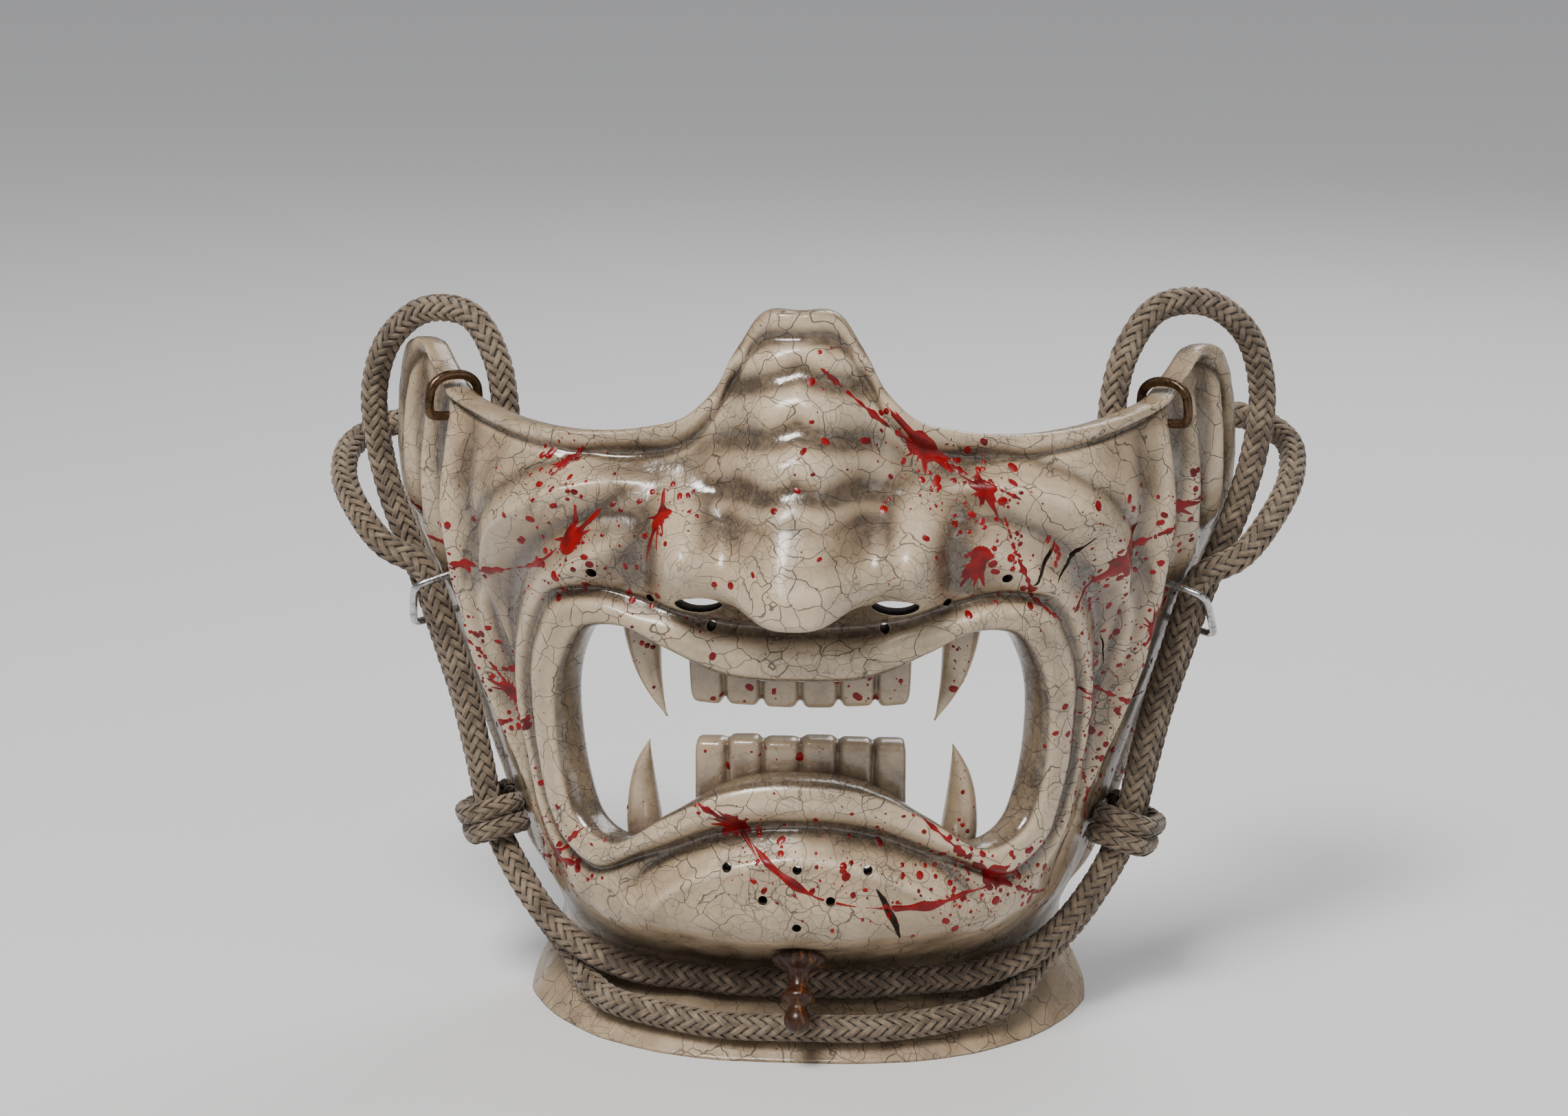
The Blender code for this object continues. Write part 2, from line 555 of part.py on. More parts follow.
def rod(radius, length, sides, start):
    """Rings of a plain rod along Z."""
    return [
        [(radius * math.cos(2 * math.pi * k / sides), radius * math.sin(2 * math.pi * k / sides), z)
         for k in range(sides)]
        for z in (start, start + length)
    ]


def chin_peg():
    """The turned peg, standing square to the sloping underside of the chin."""
    point, normal, across = wall_point(0, PEG_UP)
    place = frame_at(point, normal, across)
    rim_reach = []
    for k in range(16):
        angle = 2 * math.pi * k / 16
        slope = math.sqrt(max(1 - normal.z**2, 0.1))
        near = wall_point(PEG_RADIUS * math.cos(angle), PEG_UP + PEG_RADIUS * slope * math.sin(angle))[0]
        rim_reach.append((near - point).dot(normal))
    seat = max(max(rim_reach), 0) + FIT_GAP
    rings = []
    for turn in PEG_PROFILE:
        ring = rod(turn.radius * PEG_RADIUS, 0, 12, seat + turn.along * PEG_LENGTH)[0]
        rings.append([place @ Vector(corner) for corner in ring])
    return ring_tube("chin_peg", rings, PEG_WOOD)


def wire(name, path, radius, look, closed=False, resolution=1):
    """A round wire or cord along a path, with flat ends."""
    curve = bpy.data.curves.new(name, "CURVE")
    curve.dimensions = "3D"
    curve.bevel_depth = radius
    curve.bevel_resolution = resolution
    curve.use_fill_caps = True
    spline = curve.splines.new("POLY")
    spline.points.add(len(path) - 1)
    for point, place in zip(spline.points, path):
        point.co = (*place, 1)
    spline.use_cyclic_u = closed
    curve.materials.append(material(name, look))
    piece = bpy.data.objects.new(name, curve)
    bpy.context.scene.collection.objects.link(piece)
    return piece


def edge_up(around):
    """Height of the wall's top edge at a distance from the middle of the face."""
    path = curve_through(at_sizes(OUTER_EDGE, HALF_GIRTH), 300)
    top = path[: path[:, 0].argmax()]
    return float(np.interp(abs(around), top[:, 0], top[:, 1]))


def top_hook_places(side):
    """The hole for a top hook: its middle, the wall's normal and the way to the top edge."""
    around = side * TOP_HOOK_ROUND
    top = edge_up(around)
    _, normal, across = wall_point(around, top - TOP_HOOK_HOLE_DROP)
    plain = Vector(plain_wall(np.array([around]), np.array([top - TOP_HOOK_HOLE_DROP]))[0])
    return plain, normal, normal.cross(across).normalized() * side


def top_hook(name, side):
    """A ring of bent wire through a hole near the top edge and over that edge."""
    plain, normal, upward = top_hook_places(side)
    if upward.z < 0:
        upward = -upward
    clear = TOP_WIRE_RADIUS + 2 * FIT_GAP
    out = TOP_HOOK_FRONT + clear
    back = -(WALL + clear)
    rise = TOP_HOOK_HOLE_DROP + clear + FIT_GAP
    corners = ((out, 0.14), (out, 0.5), (0.92 * out, 0.88), (0.5 * out, 1.12), (0.0, 1.16),
               (0.5 * back, 1.12), (0.92 * back, 0.88), (back, 0.5), (back, 0.14),
               (0.86 * back, 0.0), (0.86 * out, 0.0))
    path = [plain + normal * off + upward * (share * rise) for off, share in corners]
    return wire(name, path, TOP_WIRE_RADIUS, BRONZE, closed=True)


def side_hook_feet(side):
    """The two feet of a side hook, front and high, and back and low, on the plain wall."""
    feet = []
    for step in (-1, 1):
        around = side * (SIDE_HOOK_ROUND + step * SIDE_HOOK_REACH / 2)
        up = SIDE_HOOK_UP - step * SIDE_HOOK_LENGTH / 2
        feet.append(wall_point(around, up))
    return feet


def side_hook(name, side):
    """A steel wire staple that stands across the two strands, its feet through the wall."""
    (front, front_out, _), (back, back_out, _) = side_hook_feet(side)
    inside, shoulder = -WALL - SIDE_HOOK_TAIL, SIDE_HOOK_STANDOFF - SIDE_HOOK_BEND
    bend = SIDE_HOOK_STANDOFF - 0.3 * SIDE_HOOK_BEND
    path = [front + front_out * inside, front + front_out * shoulder,
            front.lerp(back, 0.05) + front_out * bend,
            front.lerp(back, 0.14) + front_out * SIDE_HOOK_STANDOFF,
            front.lerp(back, 0.86) + back_out * SIDE_HOOK_STANDOFF,
            front.lerp(back, 0.95) + back_out * bend,
            back + back_out * shoulder, back + back_out * inside]
    return wire(name, path, SIDE_WIRE_RADIUS, STEEL)


def route(right, left):
    """The smooth route of a strand from the left top hook under the chin to the right one."""
    stops = [(-stop.round, stop.up, stop.off) for stop in left[:0:-1]]
    stops += [(stop.round, stop.up, stop.off) for stop in right]
    table = np.array(stops)
    s, h = table[:, 0] * HALF_GIRTH, table[:, 1] * HEIGHT
    points = plain_wall(s, h) + wall_normal(s, h) * (table[:, 2:] * CORD_DIAMETER)
    rough = np.linalg.norm(np.diff(points, axis=0), axis=1).sum()
    return curve_through(points, int(rough / (ROUTE_STEP * CORD_DIAMETER)) + 2)


def stop_point(stop, side):
    """The place of a route's stop, and the wall's normal there."""
    s, h = np.array([side * stop.round * HALF_GIRTH]), np.array([stop.up * HEIGHT])
    normal = Vector(wall_normal(s, h)[0])
    return Vector(plain_wall(s, h)[0]) + normal * stop.off * CORD_DIAMETER, normal


def lower_knot(name, side):
    """A sleeve round both strands at the jaw, where they are tied together."""
    outer, _ = stop_point(OUTER_ROUTE_RIGHT[KNOT_STOP], side)
    inner, _ = stop_point(INNER_ROUTE_RIGHT[KNOT_STOP], side)
    below, above = (stop_point(OUTER_ROUTE_RIGHT[KNOT_STOP + step], side)[0] for step in (-1, 1))
    place = frame_at((outer + inner) / 2, above - below, outer - inner)
    spread = (outer - inner).length / 2
    hollow = CORD_DIAMETER / 2 + FIT_GAP + KNOT_SLACK
    half = KNOT_LENGTH / 2
    profile = ((0, -half * 0.8), (KNOT_WALL * 0.75, -half), (KNOT_WALL, -half * 0.45),
               (KNOT_WALL, half * 0.45), (KNOT_WALL * 0.75, half), (0, half * 0.8))
    rings = []
    for k in range(12):
        angle = 2 * math.pi * (k + 0.5) / 12
        shift = math.copysign(spread, math.cos(angle))
        rings.append([place @ Vector((shift + (hollow + out) * math.cos(angle),
                                      (hollow + out) * math.sin(angle), z)) for out, z in profile])
    return ring_tube(name, rings, CORD_CLOTH, closed=True)


def cutter(name, bodies):
    """One mesh of all the rods and slots that are cut out of the shell."""
    points, faces = [], []
    for rings in bodies:
        start, sides = len(points), len(rings[0])
        points += [tuple(corner) for ring in rings for corner in ring]
        faces += [(start + k, start + (k + 1) % sides, start + sides + (k + 1) % sides,
                   start + sides + k) for k in range(sides)]
        faces.append(tuple(start + k for k in range(sides))[::-1])
        faces.append(tuple(start + sides + k for k in range(sides)))
    piece = add_mesh(name, points, faces, BONE)
    piece.hide_render = True
    piece.display_type = "WIRE"
    return piece


def holes():
    """The whisker holes, the nostrils and the holes for the hooks, as rods."""
    bodies = []
    for hole in WHISKER_HOLES:
        point, normal, across = wall_point(hole.round * HALF_GIRTH, hole.up * HEIGHT)
        place = frame_at(point, normal, across)
        bodies.append([[place @ Vector(c) for c in ring]
                       for ring in rod(WHISKER_HOLE_RADIUS, 0.020, 6, -0.014)])
    for side in (-1, 1):
        middle = Vector((side * NOSTRIL_PLACE, -ORIGIN_DEPTH, NOSTRIL_UP))
        place = frame_at(middle, Vector((0, -1, 0)), Vector((1, 0, 0)))
        slot = rod(1.0, 2.0, 12, -1.0)
        bodies.append([[place @ Vector((c[0] * NOSTRIL_HALF_WIDTH, c[1] * NOSTRIL_HALF_HEIGHT,
                                        c[2] * 0.040)) for c in ring] for ring in slot])
        plain, normal, upward = top_hook_places(side)
        place = frame_at(plain, normal, upward)
        bodies.append([[place @ Vector(c) for c in ring]
                       for ring in rod(TOP_WIRE_RADIUS + 2 * FIT_GAP, 0.024, 8, -0.012)])
        for point, normal, across in side_hook_feet(side):
            place = frame_at(point, normal, across)
            bodies.append([[place @ Vector(c) for c in ring]
                           for ring in rod(SIDE_WIRE_RADIUS + FIT_GAP, 0.018, 8, -0.010)])
    return bodies


def main():
    for obj in list(bpy.data.objects):
        bpy.data.objects.remove(obj, do_unlink=True)
    shell = face_shell()
    cut = shell.modifiers.new("holes", "BOOLEAN")
    cut.operation = "DIFFERENCE"
    cut.object = cutter("hole_cutters", holes())
    teeth_row("upper_teeth", UPPER_TEETH_HALF_WIDTH, UPPER_TOOTH_HEIGHT, True)
    teeth_row("lower_teeth", LOWER_TEETH_HALF_WIDTH, LOWER_TOOTH_HEIGHT, False)
    for side, word in ((-1, "left"), (1, "right")):
        fang("fang_upper_" + word, side, UPPER_FANG_PLACE, UPPER_FANG_LEAN, UPPER_FANG_LENGTH, True)
        fang("fang_lower_" + word, side, LOWER_FANG_PLACE, LOWER_FANG_LEAN, LOWER_FANG_LENGTH, False)
        top_hook("top_hook_" + word, side)
        side_hook("side_hook_" + word, side)
        lower_knot("knot_" + word, side)
    chin_peg()
    wire("outer_cord", route(OUTER_ROUTE_RIGHT, OUTER_ROUTE_LEFT), CORD_DIAMETER / 2,
         CORD_CLOTH, resolution=2)
    wire("inner_cord", route(INNER_ROUTE_RIGHT, INNER_ROUTE_LEFT), CORD_DIAMETER / 2,
         CORD_CLOTH, resolution=2)


main()
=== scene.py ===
"""Dresses the samurai half mask: shell, teeth, peg, wire hooks, braided cord and splashes."""

import logging
import math
from dataclasses import dataclass, field
from enum import Enum
from typing import Any, Sequence

import bmesh
import bpy
import numpy as np
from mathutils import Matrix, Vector
from mathutils.bvhtree import BVHTree


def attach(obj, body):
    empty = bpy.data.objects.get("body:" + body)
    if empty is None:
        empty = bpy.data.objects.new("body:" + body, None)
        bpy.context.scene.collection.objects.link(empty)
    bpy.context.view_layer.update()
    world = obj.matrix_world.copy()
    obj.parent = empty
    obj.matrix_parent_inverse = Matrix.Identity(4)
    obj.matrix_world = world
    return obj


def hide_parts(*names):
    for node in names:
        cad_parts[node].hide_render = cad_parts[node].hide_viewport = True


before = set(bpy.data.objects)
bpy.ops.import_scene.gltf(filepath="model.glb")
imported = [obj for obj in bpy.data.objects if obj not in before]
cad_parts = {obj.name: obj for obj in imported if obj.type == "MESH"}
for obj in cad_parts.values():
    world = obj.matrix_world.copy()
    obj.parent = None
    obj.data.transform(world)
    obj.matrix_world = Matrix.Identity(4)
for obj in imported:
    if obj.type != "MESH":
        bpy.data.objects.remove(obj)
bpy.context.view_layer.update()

LOG = logging.getLogger("half_mask")
Array = np.ndarray
Triple = tuple[float, float, float]
Colour = Triple
Place = tuple[float, float]
Path = tuple[Place, ...]
Table = tuple[Triple, ...]
Faces = list[tuple[int, ...]]
Rings = list[list[Vector]]
Piece = bpy.types.Object
Material = bpy.types.Material
MM = 0.001
SUM_PLACES, SUM_WEIGHTS = np.polynomial.legendre.leggauss(8)


class Named(Enum):
    """A choice that the nodes' names spell out."""

    @property
    def word(self) -> str:
        """The choice as node names spell it."""
        return self.name.lower()


class Side(Named):
    """The two sides of the mask, as the viewer sees it."""

    LEFT = -1
    RIGHT = 1


class Row(Named):
    """The two rows of teeth, with the way from the crowns to the roots."""

    UPPER = 1
    LOWER = -1


def smooth(at: Array, knots: Array, values: Array) -> Array:
    """Reads a smooth curve through the values at the knots, level beyond its ends.

    Args:
        at: Where to read it.
        knots: Rising places of the values.
        values: One value for each knot.

    Returns:
        The curve's value at each place.
    """
    slopes = np.gradient(values, knots)
    at = np.clip(at, knots[0], knots[-1])
    i = np.clip(np.searchsorted(knots, at, side="right") - 1, 0, len(knots) - 2)
    width = knots[i + 1] - knots[i]
    t = (at - knots[i]) / width
    return (
        (1 + 2 * t) * (1 - t) ** 2 * values[i]
        + t * (1 - t) ** 2 * width * slopes[i]
        + t * t * (3 - 2 * t) * values[i + 1]
        + t * t * (t - 1) * width * slopes[i + 1]
    )


def ease(at: Array, start: float, end: float) -> Array:
    """A step that climbs smoothly from 0 at start to 1 at end."""
    t = np.clip((at - start) / (end - start), 0, 1)
    return t * t * (3 - 2 * t)


def lengths_along(path: Array) -> Array:
    """How far along a path each of its points lies."""
    return np.r_[0, np.cumsum(np.linalg.norm(np.diff(path, axis=0), axis=1))]


def curve_through(points: Sequence, count: Any) -> Array:
    """Puts points on one smooth curve through the given points.

    Args:
        points: The points that the curve passes through.
        count: How many evenly spaced points, or an array of shares of the length.

    Returns:
        The points on the curve.
    """
    given = np.array(points, float)
    lengths = lengths_along(given)
    fine = np.linspace(0, lengths[-1], 24 * len(given))
    path = np.stack([smooth(fine, lengths, axis) for axis in given.T], -1)
    travelled = lengths_along(path)
    even = np.linspace(0, travelled[-1], count) if np.isscalar(count) else count * travelled[-1]
    return np.stack([np.interp(even, travelled, axis) for axis in path.T], -1)


def nearest_on(path: Array, around: Array, up: Array) -> tuple[Array, Array]:
    """Measures places against a path on the unrolled wall.

    Args:
        path: The path's points.
        around: Lengths round the wall.
        up: Heights.

    Returns:
        The distance of each place, and how far along the path it lies, from 0 to 1.
    """
    start, step = path[:-1], np.diff(path, axis=0)
    place = np.stack([around, up], -1)[..., None, :] - start
    along = np.clip((place * step).sum(-1) / (step**2).sum(-1), 0, 1)
    gap = np.linalg.norm(place - along[..., None] * step, axis=-1)
    nearest = gap.argmin(-1)[..., None]
    share = (nearest + np.take_along_axis(along, nearest, -1)) / len(step)
    return np.take_along_axis(gap, nearest, -1)[..., 0], share[..., 0]


def unit(vectors: Array) -> Array:
    """Vectors of length one along the given ones."""
    return vectors / np.maximum(np.linalg.norm(vectors, axis=-1, keepdims=True), 1e-12)


@dataclass(frozen=True)
class Boss:
    """A rounded swelling or hollow of the wall, in shares of the girth and the height."""

    round: float
    up: float
    half_width: float
    half_height: float
    rise: float


@dataclass(frozen=True)
class Fold:
    """A raised fold or sunk crease along a path in shares of the girth and the height."""

    path: Path
    width: float
    rise: float


@dataclass(frozen=True)
class MaskWall:
    """The shape of the mask's wall, by the length round it and the height above the foot."""

    half_girth: float = 0.130
    height: float = 0.166
    wall: float = 0.0040
    chin_undercut: float = 0.022
    side_undercut: float = 0.0065
    fit_gap: float = 0.0003
    origin_depth: float = 0.0237
    mouth_half_width: float = 0.055
    lip_width: float = 0.0095
    lip_rise: float = 0.0042
    lip_depth: float = 0.0045
    nose_rise: float = 0.026
    nose_half_width: float = 0.0130
    nose_drop: float = 0.0055
    bridge_fold_rise: float = 0.0020
    bridge_fold_pitch: float = 0.0105
    edge_roll_width: float = 0.0032
    edge_roll_rise: float = 0.0016
    # half a step for measuring a slope, and how far off the wall a ray starts
    probe: float = 0.0004
    outside: float = 0.045
    # level sections: height, drawn in, reach and turn in degrees
    sections: tuple[tuple[float, ...], ...] = (
        (0.000, 0.16, 0.470, 84), (0.040, 0.58, 0.455, 84), (0.075, 0.97, 0.445, 84),
        (0.100, 0.96, 0.435, 84), (0.140, 0.52, 0.425, 84), (0.190, 0.06, 0.430, 83),
        (0.250, 0.00, 0.450, 82), (0.390, 0.16, 0.500, 79), (0.520, 0.08, 0.530, 76),
        (0.660, 0.00, 0.550, 72), (0.820, 0.22, 0.550, 69), (1.000, 0.60, 0.540, 68),
    )
    outer_edge: Path = (
        (0.000, 1.000), (0.056, 0.998), (0.100, 0.955), (0.146, 0.893), (0.190, 0.862),
        (0.265, 0.846), (0.360, 0.838), (0.480, 0.841), (0.600, 0.852), (0.700, 0.864),
        (0.780, 0.892), (0.845, 0.912), (0.905, 0.905), (0.955, 0.868), (0.988, 0.795),
        (1.000, 0.700), (0.972, 0.600), (0.912, 0.500), (0.858, 0.400), (0.808, 0.300),
        (0.762, 0.215), (0.732, 0.165), (0.742, 0.120), (0.736, 0.065), (0.708, 0.022),
        (0.660, 0.000), (0.500, 0.000), (0.330, 0.000), (0.165, 0.000), (0.000, 0.000),
    )
    mouth_edge: Path = (
        (0.00, 0.536), (0.28, 0.543), (0.50, 0.575), (0.66, 0.600), (0.82, 0.594),
        (0.93, 0.545), (1.00, 0.450), (0.985, 0.372), (0.90, 0.322), (0.73, 0.302),
        (0.52, 0.342), (0.28, 0.384), (0.00, 0.396),
    )
    # rays: share of half a turn, place on the mouth's edge, place on the outer edge
    spokes: Table = (
        (0.00, 0.00, 0.000), (0.20, 0.12, 0.075), (0.34, 0.24, 0.220), (0.44, 0.34, 0.360),
        (0.56, 0.50, 0.545), (0.68, 0.64, 0.720), (0.74, 0.70, 0.775), (1.00, 1.00, 1.000),
    )
    # the nose: height, rise and width
    nose: Table = (
        (0.605, 0.00, 1.00), (0.632, 0.22, 1.05), (0.660, 0.86, 1.12), (0.695, 1.00, 1.12),
        (0.740, 0.90, 1.00), (0.800, 0.66, 0.90), (0.870, 0.46, 0.95), (0.940, 0.32, 1.00),
        (1.000, 0.26, 0.95),
    )
    bosses: tuple[Boss, ...] = (
        Boss(0.172, 0.692, 0.054, 0.058, 0.0150),
        Boss(0.460, 0.740, 0.190, 0.080, 0.0065),
        Boss(0.000, 0.235, 0.210, 0.066, 0.0050),
        Boss(0.330, 0.225, 0.100, 0.066, 0.0026),
        Boss(0.300, 0.812, 0.120, 0.034, -0.0030),
        Boss(0.600, 0.430, 0.080, 0.140, -0.0024),
    )
    folds: tuple[Fold, ...] = (
        Fold(((0.230, 0.735), (0.300, 0.700), (0.400, 0.645), (0.480, 0.555), (0.515, 0.440),
              (0.490, 0.320), (0.420, 0.235)), 0.0048, 0.0046),
        Fold(((0.225, 0.780), (0.330, 0.780), (0.430, 0.750), (0.540, 0.680), (0.600, 0.590),
              (0.615, 0.480)), 0.0040, 0.0026),
        Fold(((0.700, 0.850), (0.672, 0.760), (0.660, 0.640), (0.655, 0.520), (0.625, 0.400),
              (0.560, 0.300)), 0.0050, 0.0044),
        Fold(((0.800, 0.870), (0.775, 0.780), (0.785, 0.690), (0.835, 0.600)), 0.0052, 0.0030),
        Fold(((0.905, 0.880), (0.880, 0.800), (0.890, 0.720), (0.930, 0.650)), 0.0052, 0.0030),
        Fold(((-0.090, 0.330), (0.000, 0.335), (0.120, 0.322), (0.230, 0.285), (0.310, 0.225)),
             0.0040, -0.0030),
    )

    def plain(self, around: Array, up: Array) -> Array:
        """Points on the wall without its relief.

        Args:
            around: Lengths round the wall from the middle of the face.
            up: Heights above the foot.

        Returns:
            The points.
        """
        share = up / self.height
        heights, drawn_in, reach, turn = np.array(self.sections).T
        drawn_in = smooth(share, heights, drawn_in)
        reach = self.half_girth * smooth(share, heights, reach)
        turn = np.radians(smooth(share, heights, turn))
        length = np.abs(around)
        at = length[..., None] * (SUM_PLACES + 1) / 2
        tilt = turn[..., None] * (1 - np.exp(-((at / reach[..., None]) ** 2)))
        x = length * (np.cos(tilt) * SUM_WEIGHTS).sum(-1) / 2
        y = length * (np.sin(tilt) * SUM_WEIGHTS).sum(-1) / 2
        end = turn * (1 - np.exp(-((length / reach) ** 2)))
        sideways = ease(length, 0.25 * self.half_girth, 0.65 * self.half_girth)
        inset = self.chin_undercut + (self.side_undercut - self.chin_undercut) * sideways
        inset = inset * drawn_in
        side = np.where(around < 0, -1.0, 1.0)
        depth = y + inset * np.cos(end) - self.origin_depth
        return np.stack([side * (x - inset * np.sin(end)), depth, up + 0 * x], -1)

    def normal(self, around: Array, up: Array) -> Array:
        """Directions out of the plain wall, level at the foot so that it stays flat.

        Args:
            around: Lengths round the wall.
            up: Heights.

        Returns:
            Directions of length one.
        """
        step = self.probe
        across = self.plain(around + step, up) - self.plain(around - step, up)
        upward = self.plain(around, up + step) - self.plain(around, up - step)
        normal = np.cross(across, upward)
        normal[..., 2] *= ease(up, 0, 0.07 * self.height)
        return unit(normal)

    def nose_push(self, around: Array, up: Array, slimmer: float = 1.0) -> Array:
        """How far the nose moves points of the wall, straight ahead and down.

        Args:
            around: Lengths round the wall.
            up: Heights.
            slimmer: Share of the nose's width.

        Returns:
            One push for each place.
        """
        share = up / self.height
        heights, rise, width = np.array(self.nose).T
        rise = np.clip(smooth(share, heights, rise), 0, None) * (share > heights[0])
        width = self.nose_half_width * slimmer * smooth(share, heights, width)
        bulge = rise * np.exp(-np.abs(around / width) ** 3.0)
        return np.stack([0 * bulge, -self.nose_rise * bulge, -self.nose_drop * bulge**2], -1)

    def swell(self, boss: Boss, around: Array, up: Array, spread: float = 1.0) -> Array:
        """The height of one boss, before its rise, on both sides of the face.

        Args:
            boss: The boss.
            around: Lengths round the wall.
            up: Heights.
            spread: How much faster than by its own widths it fades.

        Returns:
            Heights from 0 to 1.
        """
        wide = (np.abs(around) - boss.round * self.half_girth) / (boss.half_width * self.half_girth)
        high = (up - boss.up * self.height) / (boss.half_height * self.height)
        return np.exp(-spread * (wide**2 + high**2))

    def relief(self, around: Array, up: Array, from_mouth: Array, from_edge: Array) -> Array:
        """Height of lips, folds, bosses and the rolled edge over the plain wall.

        Args:
            around: Lengths round the wall.
            up: Heights.
            from_mouth: Distances from the mouth's edge.
            from_edge: Distances from the outer edge.

        Returns:
            The heights.
        """
        mirrored = np.abs(around)
        lip = (from_mouth - 0.42 * self.lip_width) / (0.50 * self.lip_width)
        height = self.lip_rise * np.exp(-(lip**4))
        away = ease(from_mouth, 0.4 * self.lip_width, 1.6 * self.lip_width)
        for boss in self.bosses:
            height = height + away * boss.rise * self.swell(boss, around, up)
        for fold in self.folds:
            path = curve_through(self.scaled(fold.path), 16)
            gap, along = nearest_on(path, mirrored, up)
            fade = np.sin(np.pi * np.clip(along, 0.03, 0.97)) ** 0.6
            height = height + away * fold.rise * fade * np.exp(-((gap / fold.width) ** 2))
        arched = up + 0.30 * mirrored - 0.775 * self.height
        on_bridge = ease(arched, 0, 0.03 * self.height)
        on_bridge = on_bridge * ease(-arched, -0.21 * self.height, -0.17 * self.height)
        on_bridge = on_bridge * ease(-mirrored, -0.20 * self.half_girth, -0.10 * self.half_girth)
        wave = 0.5 + 0.5 * np.cos(2 * np.pi * arched / self.bridge_fold_pitch)
        height = height + self.bridge_fold_rise * on_bridge * wave
        roll = self.edge_roll_rise * np.exp(-((from_edge / self.edge_roll_width) ** 4))
        return height + roll * ease(up, 0.10 * self.height, 0.22 * self.height)

    def rise_at(self, around: float, up: float) -> float:
        """Height of the relief at one place, away from the mouth and the outer edge."""
        clear = np.array([1.0])
        return float(self.relief(np.array([around]), np.array([up]), clear, clear)[0])

    def scaled(self, table: Sequence[Place], half_width: float | None = None) -> list[Place]:
        """Places in metres from shares of a half width, or of the half girth, and of the height."""
        wide = self.half_girth if half_width is None else half_width
        return [(s * wide, h * self.height) for s, h in table]

    def mirrored(self, points: Sequence, share: Array) -> Array:
        """Points on a curve that goes on over the middle of the face at both ends without a kink.

        Args:
            points: The points of the right half, from the middle to the middle.
            share: Shares of the right half's length.

        Returns:
            The points on the curve.
        """
        given = np.array(points, float)
        flip = np.array([-1.0, 1.0])
        whole = curve_through([given[1] * flip, *given, given[-2] * flip], 2000)
        inside = whole[whole[:, 0] >= 0]
        travelled = lengths_along(inside)
        at = share * travelled[-1]
        return np.stack([np.interp(at, travelled, axis) for axis in inside.T], -1)

    def rays(self, count: int) -> tuple[Array, Array]:
        """Lays rays over the wall, all the way round the mouth.

        Args:
            count: How many rays.

        Returns:
            Their ends on the mouth's edge and on the outer edge.
        """
        turn = np.linspace(0, 2, count, endpoint=False)
        half = np.where(turn <= 1, turn, 2 - turn)
        side = np.where(turn <= 1, 1.0, -1.0)
        turns, on_mouth, on_edge = np.array(self.spokes).T
        ends = []
        for table, width, shares in (
            (self.mouth_edge, self.mouth_half_width, on_mouth),
            (self.outer_edge, self.half_girth, on_edge),
        ):
            share = np.interp(half, turns, shares)
            place = self.mirrored(self.scaled(table, width), share)
            middle = (half == 0) | (half == 1)
            place[:, 0] = np.where(middle, 0, np.maximum(place[:, 0], 0) * side)
            place[:, 1] = np.maximum(place[:, 1], 0)
            ends.append(place)
        return ends[0], ends[1]

    def net(self, rays: int, lip_rings: int, field_rings: int) -> tuple[Array, Array, Array, Array]:
        """Lays a net over the wall.

        Args:
            rays: How many rays it has.
            lip_rings: Rings on the lip.
            field_rings: Rings from the lip to the outer edge.

        Returns:
            Lengths round the wall, heights, and distances from the mouth and the outer edge.
        """
        mouth, edge = self.rays(rays)
        length = np.linalg.norm(edge - mouth, axis=1)[:, None]
        lip = 1.3 * self.lip_width
        near = lip * np.linspace(0, 1, lip_rings + 1)[None, :-1] + 0 * length
        far = lip + (length - lip) * np.linspace(0, 1, field_rings + 1)
        from_mouth = np.concatenate([near, far], 1)
        place = mouth[:, None] + (edge - mouth)[:, None] * (from_mouth / length)[..., None]
        return place[..., 0], place[..., 1], from_mouth, length - from_mouth

    def back(self, around: Array, up: Array, from_mouth: Array) -> Array:
        """Points on the smooth inner face, which follows the nose but not the folds.

        Args:
            around: Lengths round the wall.
            up: Heights.
            from_mouth: Distances from the mouth's edge.

        Returns:
            The points.
        """
        deeper = (self.lip_depth - self.wall) * (1 - ease(from_mouth, 0, 1.2 * self.lip_width))
        depth = self.wall + deeper
        depth = depth - 0.6 * self.bosses[0].rise * self.swell(self.bosses[0], around, up, 1.2)
        hollow = 0.86 * self.nose_push(around, up, 0.88)
        return self.plain(around, up) - self.normal(around, up) * depth[..., None] + hollow

    def at(self, around: float, up: float, off: float = 0.0) -> tuple[Vector, Vector]:
        """Finds one point off the plain wall.

        Args:
            around: Length round the wall.
            up: Height.
            off: How far off the wall it lies.

        Returns:
            The point, and the direction out of the wall there.
        """
        s, h = np.array([around], float), np.array([up], float)
        normal = self.normal(s, h)[0]
        return Vector(self.plain(s, h)[0] + off * normal), Vector(normal)

    def mouth_up(self, around: float, row: Row) -> float:
        """Height of the mouth's upper or lower edge.

        Args:
            around: Distance from the middle of the face.
            row: The row of teeth at that edge.

        Returns:
            The height above the foot.
        """
        path = curve_through(self.scaled(self.mouth_edge, self.mouth_half_width), 120)
        widest = path[:, 0].argmax()
        half = path[:widest] if row is Row.UPPER else path[widest:][::-1]
        return float(np.interp(abs(around), half[:, 0], half[:, 1]))

    def edge_up(self, around: float) -> float:
        """Height of the wall's top edge.

        Args:
            around: Distance from the middle of the face.

        Returns:
            The height above the foot.
        """
        path = curve_through(self.scaled(self.outer_edge), 300)
        top = path[: path[:, 0].argmax()]
        return float(np.interp(abs(around), top[:, 0], top[:, 1]))

